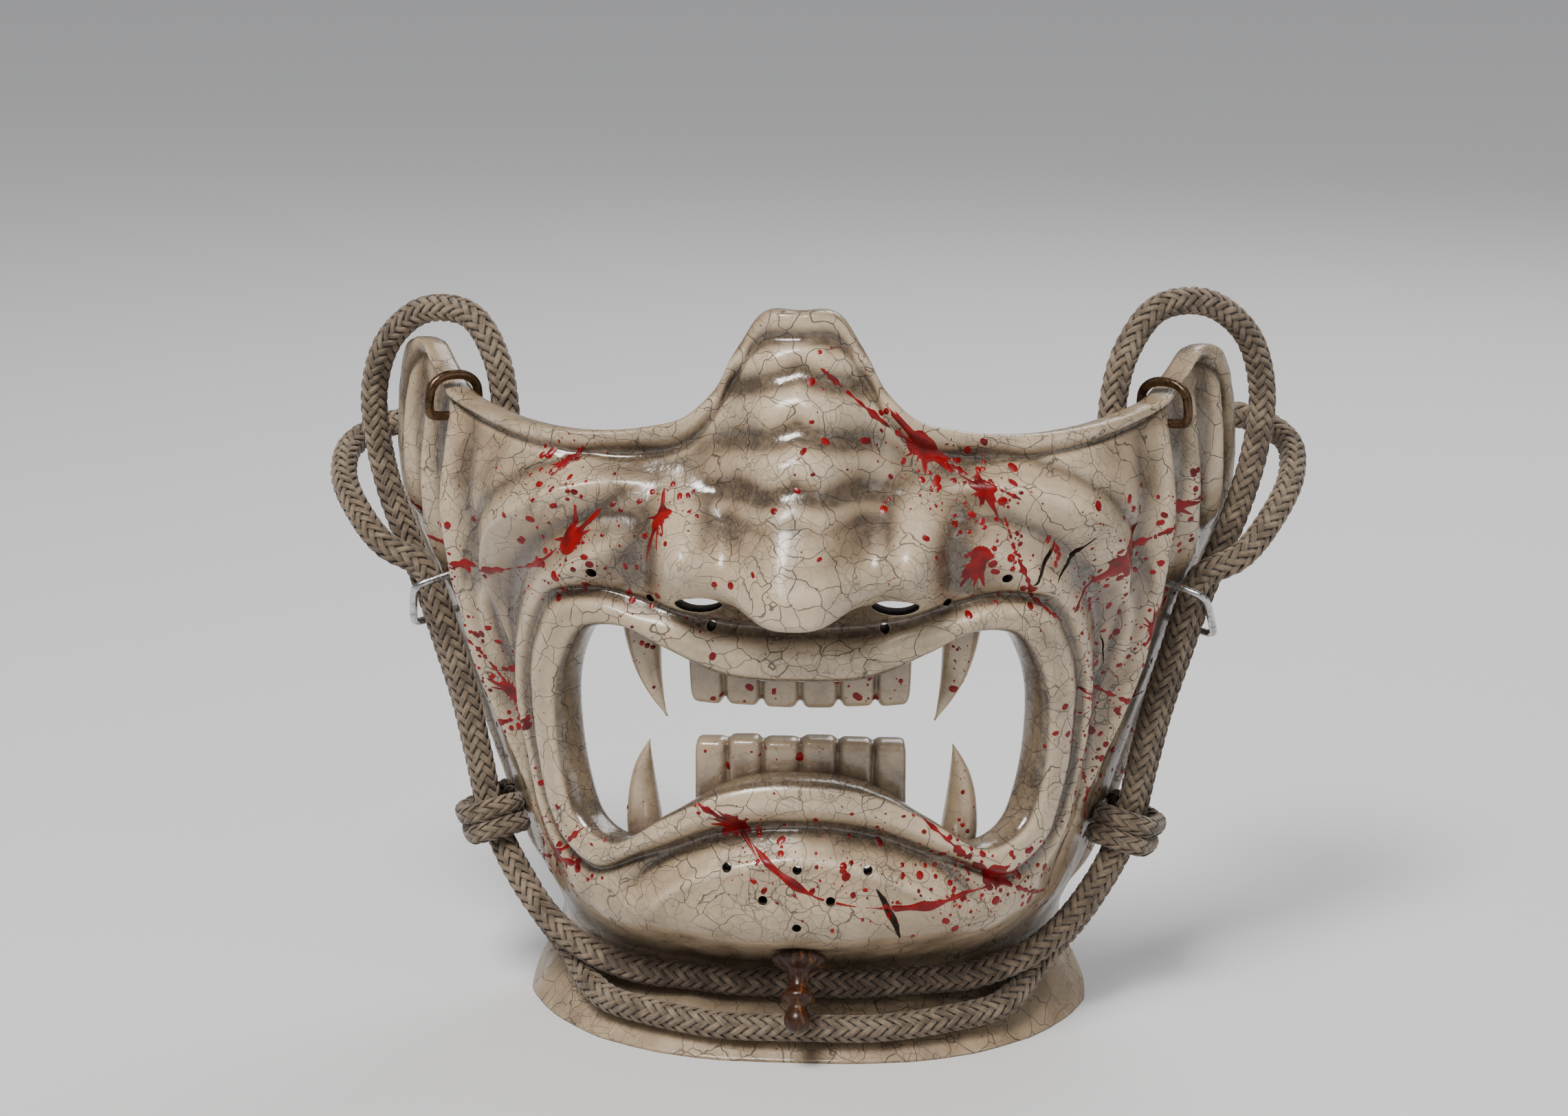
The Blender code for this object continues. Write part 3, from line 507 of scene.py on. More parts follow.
    def behind_lip(self, around: Array, up: Array, depth: Array) -> Array:
        """Points behind the plain wall, measured from the back of the lip."""
        behind = (self.lip_depth + self.fit_gap + depth)[..., None]
        return self.plain(around, up) - self.normal(around, up) * behind


@dataclass
class Sheet:
    """A material's node sheet, with short ways to lay nodes on it."""

    name: str
    material: Material = field(init=False)
    tree: bpy.types.NodeTree = field(init=False)
    shader: bpy.types.Node = field(init=False)

    def __post_init__(self) -> None:
        """Makes the material and finds its shader."""
        self.material = bpy.data.materials.new(self.name)
        self.material.use_nodes = True
        self.tree = self.material.node_tree
        self.shader = self.tree.nodes["Principled BSDF"]

    def put(self, kind: str, inputs: dict[Any, Any] | None = None,
            **settings: Any) -> bpy.types.Node:
        """Lays one node.

        Args:
            kind: The node's type without its ShaderNode prefix.
            inputs: Values or sockets for its inputs.
            **settings: Values for its own properties.

        Returns:
            The node.
        """
        node = self.tree.nodes.new("ShaderNode" + kind)
        for key, value in settings.items():
            setattr(node, key, value)
        for key, value in (inputs or {}).items():
            if isinstance(value, bpy.types.NodeSocket):
                self.tree.links.new(value, node.inputs[key])
            else:
                node.inputs[key].default_value = value
        return node

    def place(self) -> bpy.types.NodeSocket:
        """The place of the surface in metres."""
        return self.put("TexCoord").outputs["Object"]

    def noise(self, scale: float, detail: float = 3, vector: Any = None, rough: float = 0.5) -> Any:
        """Cloudy noise from 0 to 1."""
        inputs = {"Vector": self.place() if vector is None else vector, "Scale": scale,
                  "Detail": detail, "Roughness": rough}
        return self.put("TexNoise", inputs).outputs["Fac"]

    def math(self, work: str, first: Any, second: Any = 0.0, clamp: bool = False) -> Any:
        """One sum on two values or sockets."""
        return self.put("Math", {0: first, 1: second}, operation=work, use_clamp=clamp).outputs[0]

    def span(self, value: Any, low: float, high: float,
             to_low: float = 0.0, to_high: float = 1.0) -> Any:
        """Maps a range of values onto another, smoothly and clamped."""
        inputs = {"Value": value, "From Min": low, "From Max": high,
                  "To Min": to_low, "To Max": to_high}
        return self.put("MapRange", inputs, interpolation_type="SMOOTHSTEP").outputs["Result"]

    def mix(self, share: Any, first: Any, second: Any) -> Any:
        """Mixes two colours, each a plain colour or a socket."""
        first, second = ((*c, 1.0) if isinstance(c, tuple) else c for c in (first, second))
        return self.put("Mix", {0: share, 6: first, 7: second}, data_type="RGBA").outputs[2]

    def mark(self, name: str) -> Any:
        """A value that the mesh carries at each point."""
        return self.put("Attribute", attribute_name=name).outputs["Fac"]

    def warped(self, amount: float, scale: float) -> Any:
        """The place, pushed about by coloured noise.

        Args:
            amount: How far it is pushed, in metres.
            scale: The noise's scale.

        Returns:
            The pushed place.
        """
        spot = self.place()
        push = self.put("TexNoise", {"Vector": spot, "Scale": scale, "Detail": 3}).outputs["Color"]
        centred = self.put("VectorMath", {0: push, 1: (0.5, 0.5, 0.5)}, operation="SUBTRACT")
        scaled = self.put("VectorMath", {0: centred.outputs[0], "Scale": amount}, operation="SCALE")
        return self.put("VectorMath", {0: spot, 1: scaled.outputs[0]}, operation="ADD").outputs[0]

    def bump(self, height: Any, distance: float) -> None:
        """Sinks or raises the surface's shading by a height map in shares of a distance."""
        node = self.put("Bump", {"Height": height, "Distance": distance, "Strength": 1.0})
        self.link(node.outputs["Normal"], "Normal")

    def link(self, socket: Any, name: str) -> None:
        """Feeds one input of the shader."""
        self.tree.links.new(socket, self.shader.inputs[name])

    def set(self, **values: Any) -> None:
        """Sets plain inputs of the shader, an underline standing for each space."""
        for name, value in values.items():
            self.shader.inputs[name.replace("_", " ")].default_value = value


@dataclass(frozen=True)
class BoneLacquer:
    """Bone lacquer with dark crackle, brown in the hollows that is partly patina and partly painted
    shade, and pale ridges that are partly wear and partly painted highlight.
    """

    name: str = "bone_lacquer"
    pale: Colour = (0.385, 0.285, 0.180)
    warm: Colour = (0.265, 0.187, 0.112)
    # pale of wear on the ridges, which also paints highlights there
    worn_and_lit: Colour = (0.570, 0.460, 0.325)
    # dark brown of the hollows' patina and painted shade, and of the flecks
    wash_and_shade: Colour = (0.055, 0.039, 0.027)
    crack: Colour = (0.028, 0.019, 0.013)
    crack_scale: float = 150.0
    gloss: float = 0.40

    def build(self) -> Material:
        """Lays the lacquer's nodes.

        Returns:
            The material.
        """
        sheet = Sheet(self.name)
        cloud = sheet.span(sheet.noise(28, 5, rough=0.6), 0.35, 0.68)
        colour = sheet.mix(cloud, self.pale, self.warm)
        # hollow marks the hollows and the mouth's edge, which get patina and painted shade
        hollow = sheet.mark("hollow")
        ridge_wear_and_highlight = sheet.mark("ridge_wear_and_highlight")
        # ridges painted pale: partly wear, partly painted highlight
        colour = sheet.mix(sheet.math("MULTIPLY", ridge_wear_and_highlight, 0.75, True), colour, self.worn_and_lit)
        grain = sheet.noise(650, 6, rough=0.7)
        # patina and painted shade in the hollows, mottled by grain, plus a random cloud of grime
        mottled = sheet.math("MULTIPLY", hollow, sheet.span(grain, 0.25, 0.75, 0.55, 1.1))
        smoke = sheet.math("MULTIPLY", sheet.span(sheet.noise(46, 5, rough=0.65), 0.50, 0.72), 0.42)
        dirt_and_shade = sheet.math("ADD", mottled, smoke, True)
        colour = sheet.mix(sheet.math("MULTIPLY", dirt_and_shade, 0.94), colour, self.wash_and_shade)
        wide, fine = self.cracks(sheet)
        crack = sheet.math("MAXIMUM", wide, fine)
        colour = sheet.mix(sheet.math("MULTIPLY", crack, 0.78), colour, self.crack)
        speck = self.specks(sheet, hollow)
        colour = sheet.mix(sheet.math("MULTIPLY", speck, 0.8), colour, self.wash_and_shade)
        tone = sheet.span(grain, 0.3, 0.7, 0.88, 1.06)
        toned = sheet.put("HueSaturation", {"Value": tone, "Color": colour}).outputs["Color"]
        sheet.link(toned, "Base Color")
        wet = sheet.math("MULTIPLY", hollow, -0.26)
        dull = sheet.span(sheet.noise(90, 4), 0.3, 0.7, self.gloss - 0.08, self.gloss + 0.12)
        rough = sheet.math("ADD", dull, wet)
        sheet.link(sheet.math("ADD", rough, sheet.math("MULTIPLY", crack, 0.3)), "Roughness")
        peel = sheet.math("MULTIPLY", sheet.noise(900, 3), 0.42)
        dents = sheet.math("MULTIPLY", sheet.noise(210, 5), 0.80)
        level = sheet.math("ADD", peel, dents)
        sheet.bump(sheet.math("SUBTRACT", level, sheet.math("MULTIPLY", crack, 1.1)), 0.00024)
        sheet.set(Coat_Weight=0.45, Coat_Roughness=0.16, Specular_IOR_Level=0.5)
        return sheet.material

    def cracks(self, sheet: Sheet) -> tuple[Any, Any]:
        """Masks of the wide crackle and of the fine crackle inside its fields.

        Args:
            sheet: The material's sheet.

        Returns:
            The two masks, from 0 to 1.
        """
        spot = sheet.warped(0.0085, 95)
        masks = []
        for scale, width, low, high, cloud in (
            (self.crack_scale, 0.0150, 0.30, 0.52, 38),
            (self.crack_scale * 2.2, 0.0210, 0.40, 0.58, 47),
        ):
            inputs = {"Vector": spot, "Scale": scale, "Randomness": 1.0}
            edge = sheet.put("TexVoronoi", inputs, feature="DISTANCE_TO_EDGE").outputs["Distance"]
            line = sheet.span(edge, width * 0.25, width, 1.0, 0.0)
            patch = sheet.span(sheet.noise(cloud, 4), low, high, 0.06, 1.0)
            masks.append(sheet.math("MULTIPLY", line, patch))
        return masks[0], sheet.math("MULTIPLY", masks[1], 0.62)

    def specks(self, sheet: Sheet, hollow: Any) -> Any:
        """A mask of fine dark flecks, thicker in the hollows.

        Args:
            sheet: The material's sheet.
            hollow: Where the hollows are.

        Returns:
            The mask, 0 or 1.
        """
        inputs = {"Vector": sheet.place(), "Scale": 620.0, "Randomness": 1.0}
        dots = sheet.put("TexVoronoi", inputs, feature="F1")
        dot = sheet.span(dots.outputs["Distance"], 0.10, 0.20, 1.0, 0.0)
        chosen = sheet.put("SeparateColor", {0: dots.outputs["Color"]}).outputs[0]
        limit = sheet.math("SUBTRACT", 0.90, sheet.math("MULTIPLY", hollow, 0.35))
        chosen = sheet.math("GREATER_THAN", chosen, limit)
        return sheet.math("MULTIPLY", dot, chosen)


@dataclass(frozen=True)
class ToothLacquer:
    """Glossy bone lacquer with painted shade: brown at the roots, on the backs and between the
    teeth.
    """

    name: str = "tooth_lacquer"
    crown: Colour = (0.43, 0.325, 0.208)
    # brown of the painted shade at the roots, also the cracks' colour
    root: Colour = (0.10, 0.065, 0.045)

    def build(self) -> Material:
        """Lays the lacquer's nodes.

        Returns:
            The material.
        """
        sheet = Sheet(self.name)
        grain = sheet.noise(500, 5, rough=0.65)
        streak = sheet.noise(120, 4, rough=0.6)
        uneven = sheet.span(grain, 0.2, 0.8, 0.7, 1.1)
        # painted shade from the hollow mark, made uneven by grain
        dark = sheet.math("MULTIPLY", sheet.mark("hollow"), uneven, True)
        cloud = sheet.math("MULTIPLY", sheet.span(streak, 0.45, 0.75), 0.4)
        colour = sheet.mix(sheet.math("ADD", dark, cloud, True), self.crown, self.root)
        inputs = {"Vector": sheet.warped(0.004, 150), "Scale": 260.0}
        edge = sheet.put("TexVoronoi", inputs, feature="DISTANCE_TO_EDGE").outputs["Distance"]
        crack = sheet.math("MULTIPLY", sheet.span(edge, 0.006, 0.02, 1.0, 0.0), 0.45)
        colour = sheet.mix(crack, colour, self.root)
        sheet.link(colour, "Base Color")
        sheet.link(sheet.span(streak, 0.3, 0.7, 0.20, 0.36), "Roughness")
        dents = sheet.math("ADD", sheet.noise(240, 4), sheet.math("MULTIPLY", grain, 0.4))
        sheet.bump(dents, 0.00022)
        sheet.set(Coat_Weight=0.8, Coat_Roughness=0.08)
        return sheet.material


@dataclass(frozen=True)
class CutEdge:
    """The near-black wall of holes and battle cuts, painted shade inside them."""

    name: str = "cut_edge"
    colour: Colour = (0.014, 0.010, 0.008)
    scuffed: Colour = (0.040, 0.029, 0.021)

    def build(self) -> Material:
        """Lays the near-black finish of painted shade.

        Returns:
            The material.
        """
        sheet = Sheet(self.name)
        share = sheet.span(sheet.noise(700, 4), 0.3, 0.7)
        sheet.link(sheet.mix(share, self.colour, self.scuffed), "Base Color")
        sheet.set(Roughness=0.9, Specular_IOR_Level=0.12)
        return sheet.material


@dataclass(frozen=True)
class PegWood:
    """Turned dark wood with amber streaks under gloss lacquer."""

    name: str = "peg_wood"
    dark: Colour = (0.030, 0.010, 0.004)
    amber: Colour = (0.24, 0.090, 0.024)

    def build(self) -> Material:
        """Lays the wood's nodes.

        Returns:
            The material.
        """
        sheet = Sheet(self.name)
        inputs = {"Vector": sheet.place(), "Scale": (1.0, 0.35, 0.35)}
        stretched = sheet.put("Mapping", inputs).outputs[0]
        streak = sheet.span(sheet.noise(620, 6, stretched, 0.7), 0.50, 0.76)
        sheet.link(sheet.mix(streak, self.dark, self.amber), "Base Color")
        sheet.link(sheet.span(sheet.noise(500, 3), 0.3, 0.7, 0.26, 0.42), "Roughness")
        sheet.bump(streak, 0.00004)
        sheet.set(Coat_Weight=0.12, Coat_Roughness=0.18, Specular_IOR_Level=0.28)
        return sheet.material


@dataclass(frozen=True)
class WireMetal:
    """Bent wire: bright or dark metal with small scratches and tarnish."""

    name: str
    clean: Colour
    tarnish: Colour
    rough: float
    metal: float = 1.0

    def build(self) -> Material:
        """Lays the metal's nodes.

        Returns:
            The material.
        """
        sheet = Sheet(self.name)
        patch = sheet.span(sheet.noise(420, 5, rough=0.65), 0.46, 0.68)
        sheet.link(sheet.mix(patch, self.clean, self.tarnish), "Base Color")
        low, high = self.rough * 0.7, self.rough * 1.6
        sheet.link(sheet.span(sheet.noise(1500, 4), 0.3, 0.7, low, high), "Roughness")
        sheet.bump(sheet.noise(1300, 4), 0.00006)
        sheet.set(Metallic=self.metal)
        return sheet.material


@dataclass(frozen=True)
class CordYarn:
    """Tan and brown yarn, with painted shade: darker the lower a strand lies between the others,
    paler on top of the braid.
    """

    name: str = "cord_yarn"
    tan: Colour = (0.250, 0.188, 0.127)
    brown: Colour = (0.088, 0.062, 0.042)
    shade: Colour = (0.026, 0.017, 0.012)

    def build(self) -> Material:
        """Lays the yarn's nodes, with fibres along each strand.

        Returns:
            The material.
        """
        sheet = Sheet(self.name)
        along, across = sheet.mark("along"), sheet.mark("across")
        spot = sheet.put("CombineXYZ", {0: along, 1: across, 2: sheet.mark("strand")}).outputs[0]
        fibre = sheet.put("TexNoise", {"Vector": spot, "Scale": 1.0, "Detail": 4}).outputs["Fac"]
        mottle = sheet.noise(210, 4, rough=0.7)
        mixed = sheet.math("ADD", sheet.math("MULTIPLY", fibre, 0.45), mottle)
        share = sheet.span(mixed, 0.52, 0.92)
        colour = sheet.mix(share, self.tan, self.brown)
        # painted shade: dark between the strands and on the core, paler on top
        deep = sheet.span(sheet.mark("height"), 0.0, 1.0, 0.92, 0.0)
        sheet.link(sheet.mix(deep, colour, self.shade), "Base Color")
        sheet.bump(fibre, 0.00020)
        sheet.set(Roughness=0.88, Sheen_Weight=0.25, Sheen_Roughness=0.5, Specular_IOR_Level=0.2)
        return sheet.material


@dataclass(frozen=True)
class SplashPaint:
    """Deep red gloss paint, thrown on in thin splashes."""

    name: str = "splash_paint"
    red: Colour = (0.215, 0.001, 0.002)
    deep: Colour = (0.085, 0.000, 0.001)

    def build(self) -> Material:
        """Lays the paint's nodes.

        Returns:
            The material.
        """
        sheet = Sheet(self.name)
        share = sheet.span(sheet.noise(300, 4), 0.35, 0.7)
        sheet.link(sheet.mix(share, self.red, self.deep), "Base Color")
        sheet.link(sheet.span(sheet.noise(420, 3), 0.3, 0.7, 0.30, 0.48), "Roughness")
        sheet.set(Coat_Weight=0.14, Coat_Roughness=0.14, Specular_IOR_Level=0.24)
        return sheet.material


@dataclass(frozen=True)
class StudioFloor:
    """Plain pale floor."""

    name: str = "studio_floor"
    colour: Colour = (0.66, 0.66, 0.665)

    def build(self) -> Material:
        """Lays the floor's plain finish.

        Returns:
            The material.
        """
        sheet = Sheet(self.name)
        sheet.set(Base_Color=(*self.colour, 1.0), Roughness=0.75)
        return sheet.material


def make_piece(
    name: str,
    points: Array,
    faces: Faces,
    finish: Material,
    marks: dict[str, Array] | None = None,
) -> Piece:
    """Makes one smooth-shaded mesh piece.

    Args:
        name: The piece's name.
        points: Its points.
        faces: Its faces.
        finish: Its material.
        marks: Values for each point, by name.

    Returns:
        The new object.
    """
    mesh = bpy.data.meshes.new(name)
    mesh.from_pydata(np.asarray(points, float).tolist(), [], faces)
    for key, values in (marks or {}).items():
        layer = mesh.attributes.new(key, "FLOAT", "POINT")
        layer.data.foreach_set("value", np.asarray(values, np.float32).ravel())
    mesh.shade_smooth()
    mesh.materials.append(finish)
    piece = bpy.data.objects.new(name, mesh)
    bpy.context.scene.collection.objects.link(piece)
    return piece


def face_out(piece: Piece) -> None:
    """Turns all the faces of a closed piece to face out.

    Args:
        piece: The piece.
    """
    body = bmesh.new()
    body.from_mesh(piece.data)
    bmesh.ops.recalc_face_normals(body, faces=body.faces)
    body.to_mesh(piece.data)
    body.free()


def settle(piece: Piece) -> None:
    """Replaces a piece's mesh by what its modifiers make of it.

    Args:
        piece: The piece.
    """
    view = bpy.context.evaluated_depsgraph_get()
    mesh = bpy.data.meshes.new_from_object(piece.evaluated_get(view), depsgraph=view)
    piece.modifiers.clear()
    piece.data = mesh


def seat(piece: Piece, slot: str, *nodes: str) -> None:
    """Lets a piece ride on the mask, and reports it.

    Args:
        piece: The piece.
        slot: A material slot's name; not used.
        *nodes: The solids that it stands for.
    """
    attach(piece, "root")
    if nodes:
        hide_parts(*nodes)
    LOG.info("%s: %d faces", piece.name, len(piece.data.polygons))


def ring_faces(count: int, sides: int, start: int = 0, closed: bool = False) -> Faces:
    """Faces of a tube from rings of points, capped unless it closes on itself.

    Args:
        count: How many rings.
        sides: Points in each ring.
        start: Number of the first point.
        closed: Whether the last ring joins the first.

    Returns:
        The faces.
    """
    faces: Faces = []
    for i in range(count if closed else count - 1):
        here, there = start + i * sides, start + (i + 1) % count * sides
        for j in range(sides):
            after = (j + 1) % sides
            faces.append((here + j, here + after, there + after, there + j))
    if not closed:
        faces.append(tuple(start + j for j in range(sides))[::-1])
        faces.append(tuple(start + (count - 1) * sides + j for j in range(sides)))
    return faces


def carried_frames(path: Array, closed: bool = False) -> tuple[Array, Array, Array]:
    """Finds directions along a path, and two square to it that turn as little as they can.

    Args:
        path: The path's points.
        closed: Whether it closes on itself.

    Returns:
        The directions along the path, and the two square to it.
    """
    ahead = np.roll(path, -1, axis=0) - np.roll(path, 1, axis=0)
    if not closed:
        ahead[0], ahead[-1] = path[1] - path[0], path[-1] - path[-2]
    ahead = unit(ahead)
    first = np.zeros_like(path)
    side = np.array([0.0, 0.0, 1.0]) if abs(ahead[0][2]) < 0.8 else np.array([1.0, 0.0, 0.0])
    for i, step in enumerate(ahead):
        side = side - step * side.dot(step)
        side = side / np.linalg.norm(side)
        first[i] = side
    return ahead, first, np.cross(ahead, first)


def tube_rings(path: Array, first: Array, second: Array, radius: float, sides: int) -> Array:
    """Rings of a round tube, by two directions square to its path at each point."""
    turn = 2 * math.pi * np.arange(sides) / sides
    return path[:, None] + radius * (np.cos(turn)[None, :, None] * first[:, None]
                                     + np.sin(turn)[None, :, None] * second[:, None])


@dataclass(frozen=True)
class Lamp:
    """A soft square light, with its width in metres and its power in watts."""

    name: str
    place: Triple
    width: float
    power: float
    tint: Colour


@dataclass
class Studio:
    """The camera, the lights and the pale floor."""

    aim: Triple = (-0.0026, -0.030, 0.1169)
    distance: float = 0.60
    elevation: float = 14.0
    azimuth: float = 3.2
    lens: float = 66.6
    floor_half_width: float = 9.0
    lamp_aim: Triple = (0.0, 0.0, 0.09)
    lamps: tuple[Lamp, ...] = (
        Lamp("key", (-0.30, -0.62, 1.20), 0.42, 19.0, (1.0, 0.965, 0.92)),
        Lamp("fill", (1.05, -0.70, 0.50), 0.80, 3.0, (0.95, 0.97, 1.0)),
        Lamp("rim", (0.35, 0.85, 0.95), 0.70, 7.0, (1.0, 1.0, 1.0)),
    )
    sun_angle: float = 24.0
    sun_power: float = 1.25
    sun_turn: Triple = (34.0, -16.0, 0.0)
    sky: Colour = (0.86, 0.88, 0.92)
    sky_power: float = 0.26

    def build(self) -> None:
        """Sets up camera, lights and floor."""
        self.camera()
        self.lights()
        self.floor()

    def camera(self) -> None:
        """Puts the camera at the photograph's viewing angle."""
        data = bpy.data.cameras.new("camera")
        data.lens = self.lens
        data.sensor_width = 36.0
        data.clip_start = 0.01
        camera = bpy.data.objects.new("camera", data)
        bpy.context.scene.collection.objects.link(camera)
        turn, lift = math.radians(self.azimuth), math.radians(self.elevation)
        level = self.distance * math.cos(lift)
        aim = Vector(self.aim)
        camera.location = aim + Vector(
            (level * math.sin(turn), -level * math.cos(turn), self.distance * math.sin(lift)))
        camera.rotation_euler = (aim - camera.location).to_track_quat("-Z", "Y").to_euler()
        bpy.context.scene.camera = camera

    def lights(self) -> None:
        """Hangs a soft sun, three soft lights and a pale sky."""
        for lamp in self.lamps:
            data = bpy.data.lights.new(lamp.name, "AREA")
            data.size = lamp.width
            data.energy = lamp.power
            data.color = lamp.tint
            light = bpy.data.objects.new(lamp.name, data)
            light.location = lamp.place
            aim = Vector(self.lamp_aim) - Vector(lamp.place)
            light.rotation_euler = aim.to_track_quat("-Z", "Y").to_euler()
            bpy.context.scene.collection.objects.link(light)
        data = bpy.data.lights.new("sun", "SUN")
        data.angle = math.radians(self.sun_angle)
        data.energy = self.sun_power
        sun = bpy.data.objects.new("sun", data)
        sun.rotation_euler = tuple(math.radians(turn) for turn in self.sun_turn)
        bpy.context.scene.collection.objects.link(sun)
        world = bpy.data.worlds.new("studio")
        world.use_nodes = True
        inputs = world.node_tree.nodes["Background"].inputs
        inputs["Color"].default_value = (*self.sky, 1.0)
        inputs["Strength"].default_value = self.sky_power
        bpy.context.scene.world = world

    def floor(self) -> None:
        """Lays the floor."""
        w = self.floor_half_width
        points = np.array([(-w, -w, 0), (w, -w, 0), (w, w, 0), (-w, w, 0)], float)
        floor = make_piece("studio_floor", points, [(0, 1, 2, 3)], StudioFloor().build())


@dataclass(frozen=True)
class Slash:
    """A battle cut: its ends in shares of the girth and the height, half width and depth."""

    start: Place
    end: Place
    wide: float
    deep: float


@dataclass
class FaceShell:
    """The lacquered shell with its holes and battle cuts."""

    wall: MaskWall
    rays: int = 600
    lip_rings: int = 20
    field_rings: int = 90
    back_lip_rings: int = 4
    back_field_rings: int = 22
    edge_steps: int = 4
    edge_bulge: float = 0.0009
    smoothings: int = 60
    fine_smoothings: int = 8
    # place to the side, height, half width, half height and half length of the cut
    nostril: tuple[float, ...] = (0.0205, 0.1065, 0.0050, 0.0024, 0.040)
    whisker_radius: float = 0.0010
    whisker_reach: float = 0.012
    tool_mark: float = 0.00012
    crest: float = 0.0009
    groove: float = 0.0007
    whisker_holes: Path = (
        (-0.330, 0.668), (-0.240, 0.638), (-0.140, 0.606), (0.140, 0.606), (0.240, 0.638),
        (0.330, 0.668), (-0.115, 0.282), (0.115, 0.282), (-0.055, 0.246), (0.055, 0.246),
        (0.000, 0.282), (0.000, 0.212),
    )
    slashes: tuple[Slash, ...] = (
        Slash((0.418, 0.716), (0.368, 0.656), 0.0013, 0.0012),
        Slash((0.474, 0.712), (0.412, 0.656), 0.0012, 0.0012),
        Slash((0.118, 0.572), (0.104, 0.552), 0.0009, 0.0009),
        Slash((-0.412, 0.772), (-0.436, 0.722), 0.0014, 0.0011),
        Slash((0.128, 0.262), (0.172, 0.190), 0.0017, 0.0015),
        Slash((0.560, 0.560), (0.590, 0.510), 0.0008, 0.0008),
    )

    def build(self) -> Piece:
        """Builds the shell, cuts its holes and dresses it.

        Returns:
            The shell.
        """
        front_net = self.wall.net(self.rays, self.lip_rings, self.field_rings)
        around, up, from_mouth, from_edge = front_net
        height = self.wall.relief(*front_net)
        push = self.wall.nose_push(around, up)
        carved = self.hand_marks(around, up) * ease(from_mouth, 0.003, 0.008)
        carved = carved + self.chisel_lines(around, up, from_mouth, from_edge)
        normal = self.wall.normal(around, up)
        front = self.wall.plain(around, up) + normal * (height + carved)[..., None] + push
        front[up < 1e-6, 2] = 0
        # marks of patina with painted shade in the hollows, and of wear with painted highlight on
        # the ridges
        hollow, ridge_wear_and_highlight = self.wash_and_shade_marks(height + carved - push[..., 1], from_mouth)
        back_net = self.wall.net(self.rays, self.back_lip_rings, self.back_field_rings)
        back = self.wall.back(*back_net[:3])
        back[back_net[1] < 1e-6, 2] = 0
        points, faces, marks = self.joined(front, back, hollow, ridge_wear_and_highlight)
        points[:, 2] = np.maximum(points[:, 2], 0)
        shell = make_piece("lacquered_shell", points, faces, BoneLacquer().build(), marks)
        face_out(shell)
        self.cut(shell)
        seat(shell, "crackled_lacquer", "face_shell")
        return shell

    def hand_marks(self, around: Array, up: Array) -> Array:
        """Low uneven tool marks all over the carved face.

        Args:
            around: Lengths round the wall.
            up: Heights.

        Returns:
            Heights to add to the relief.
        """
        s, h = around / MM, up / MM
        wave = np.sin(0.31 * s + 0.12 * h + 1.3) * np.sin(0.27 * h - 0.09 * s)
        wave = wave + 0.6 * np.sin(0.55 * s - 0.47 * h + 0.7) * np.sin(0.38 * h + 0.21 * s + 2.1)
        return self.tool_mark * wave

    def chisel_lines(self, around: Array, up: Array, from_mouth: Array, from_edge: Array) -> Array:
        """Sharp crests on the folds, and narrow grooves beside the folds, the lips and the rim.

        Args:
            around: Lengths round the wall.
            up: Heights.
            from_mouth: Distances from the mouth's edge.
            from_edge: Distances from the outer edge.

        Returns:
            Heights to add to the relief.
        """
        wall = self.wall
        away = ease(from_mouth, 1.0 * wall.lip_width, 1.5 * wall.lip_width)
        lines = -self.groove * np.exp(-(((from_mouth - 1.12 * wall.lip_width) / 0.0011) ** 2))
        off_roll = (from_edge - 1.5 * wall.edge_roll_width) / 0.0010
        rim = -0.8 * self.groove * np.exp(-(off_roll**2))
        lines = lines + rim * ease(up, 0.12 * wall.height, 0.24 * wall.height) * away
        for fold in wall.folds:
            path = curve_through(wall.scaled(fold.path), 24)
            gap, along = nearest_on(path, np.abs(around), up)
            fade = np.sin(np.pi * np.clip(along, 0.0, 1.0)) ** 0.7 * away
            sign = 1.0 if fold.rise > 0 else -1.0
            crest = self.crest * sign * np.exp(-((gap / (0.30 * fold.width)) ** 2))
            off = (gap - 1.75 * fold.width) / (0.28 * fold.width)
            beside = -self.groove * sign * np.exp(-(off**2))
            lines = lines + fade * (crest + beside)
        return lines

    def wash_and_shade_marks(self, height: Array, from_mouth: Array) -> tuple[Array, Array]:
        """Finds the hollows, which take dark patina and painted shade, and the ridges, which are
        painted pale as wear and highlight.

        Args:
            height: Height of the relief on the net.
            from_mouth: Distances from the mouth's edge.

        Returns:
            Marks for hollows and for ridges, from 0 to 1.
        """
        wide, narrow = height, height
        for step in range(self.smoothings):
            padded = np.pad(wide, ((0, 0), (1, 1)), mode="edge")
            level = (padded[:, :-2] + padded[:, 2:]) / 2
            wide = (np.roll(wide, 1, 0) + np.roll(wide, -1, 0) + 2 * level) / 4
            if step == self.fine_smoothings - 1:
                narrow = wide
        # patina and painted shade gather in the hollows; wear and painted highlight go on the
        # ridges
        hollow = 0.75 * (wide - height) / 0.0011 + 0.80 * (narrow - height) / 0.00020
        ridge_wear_and_highlight = (height - wide) / 0.0012 + (height - narrow) / 0.0004
        # painted shade along the mouth's edge
        inside = 1 - ease(from_mouth, 0.0002, 0.0016)
        marks = [np.clip(hollow + 0.7 * inside, 0, 1), np.clip(ridge_wear_and_highlight, 0, 1) * 0.8]
        for _ in range(2):
            marks = [(np.roll(mark, 1, 0) + 2 * mark + np.roll(mark, -1, 0)) / 4 for mark in marks]
        return marks[0], marks[1]

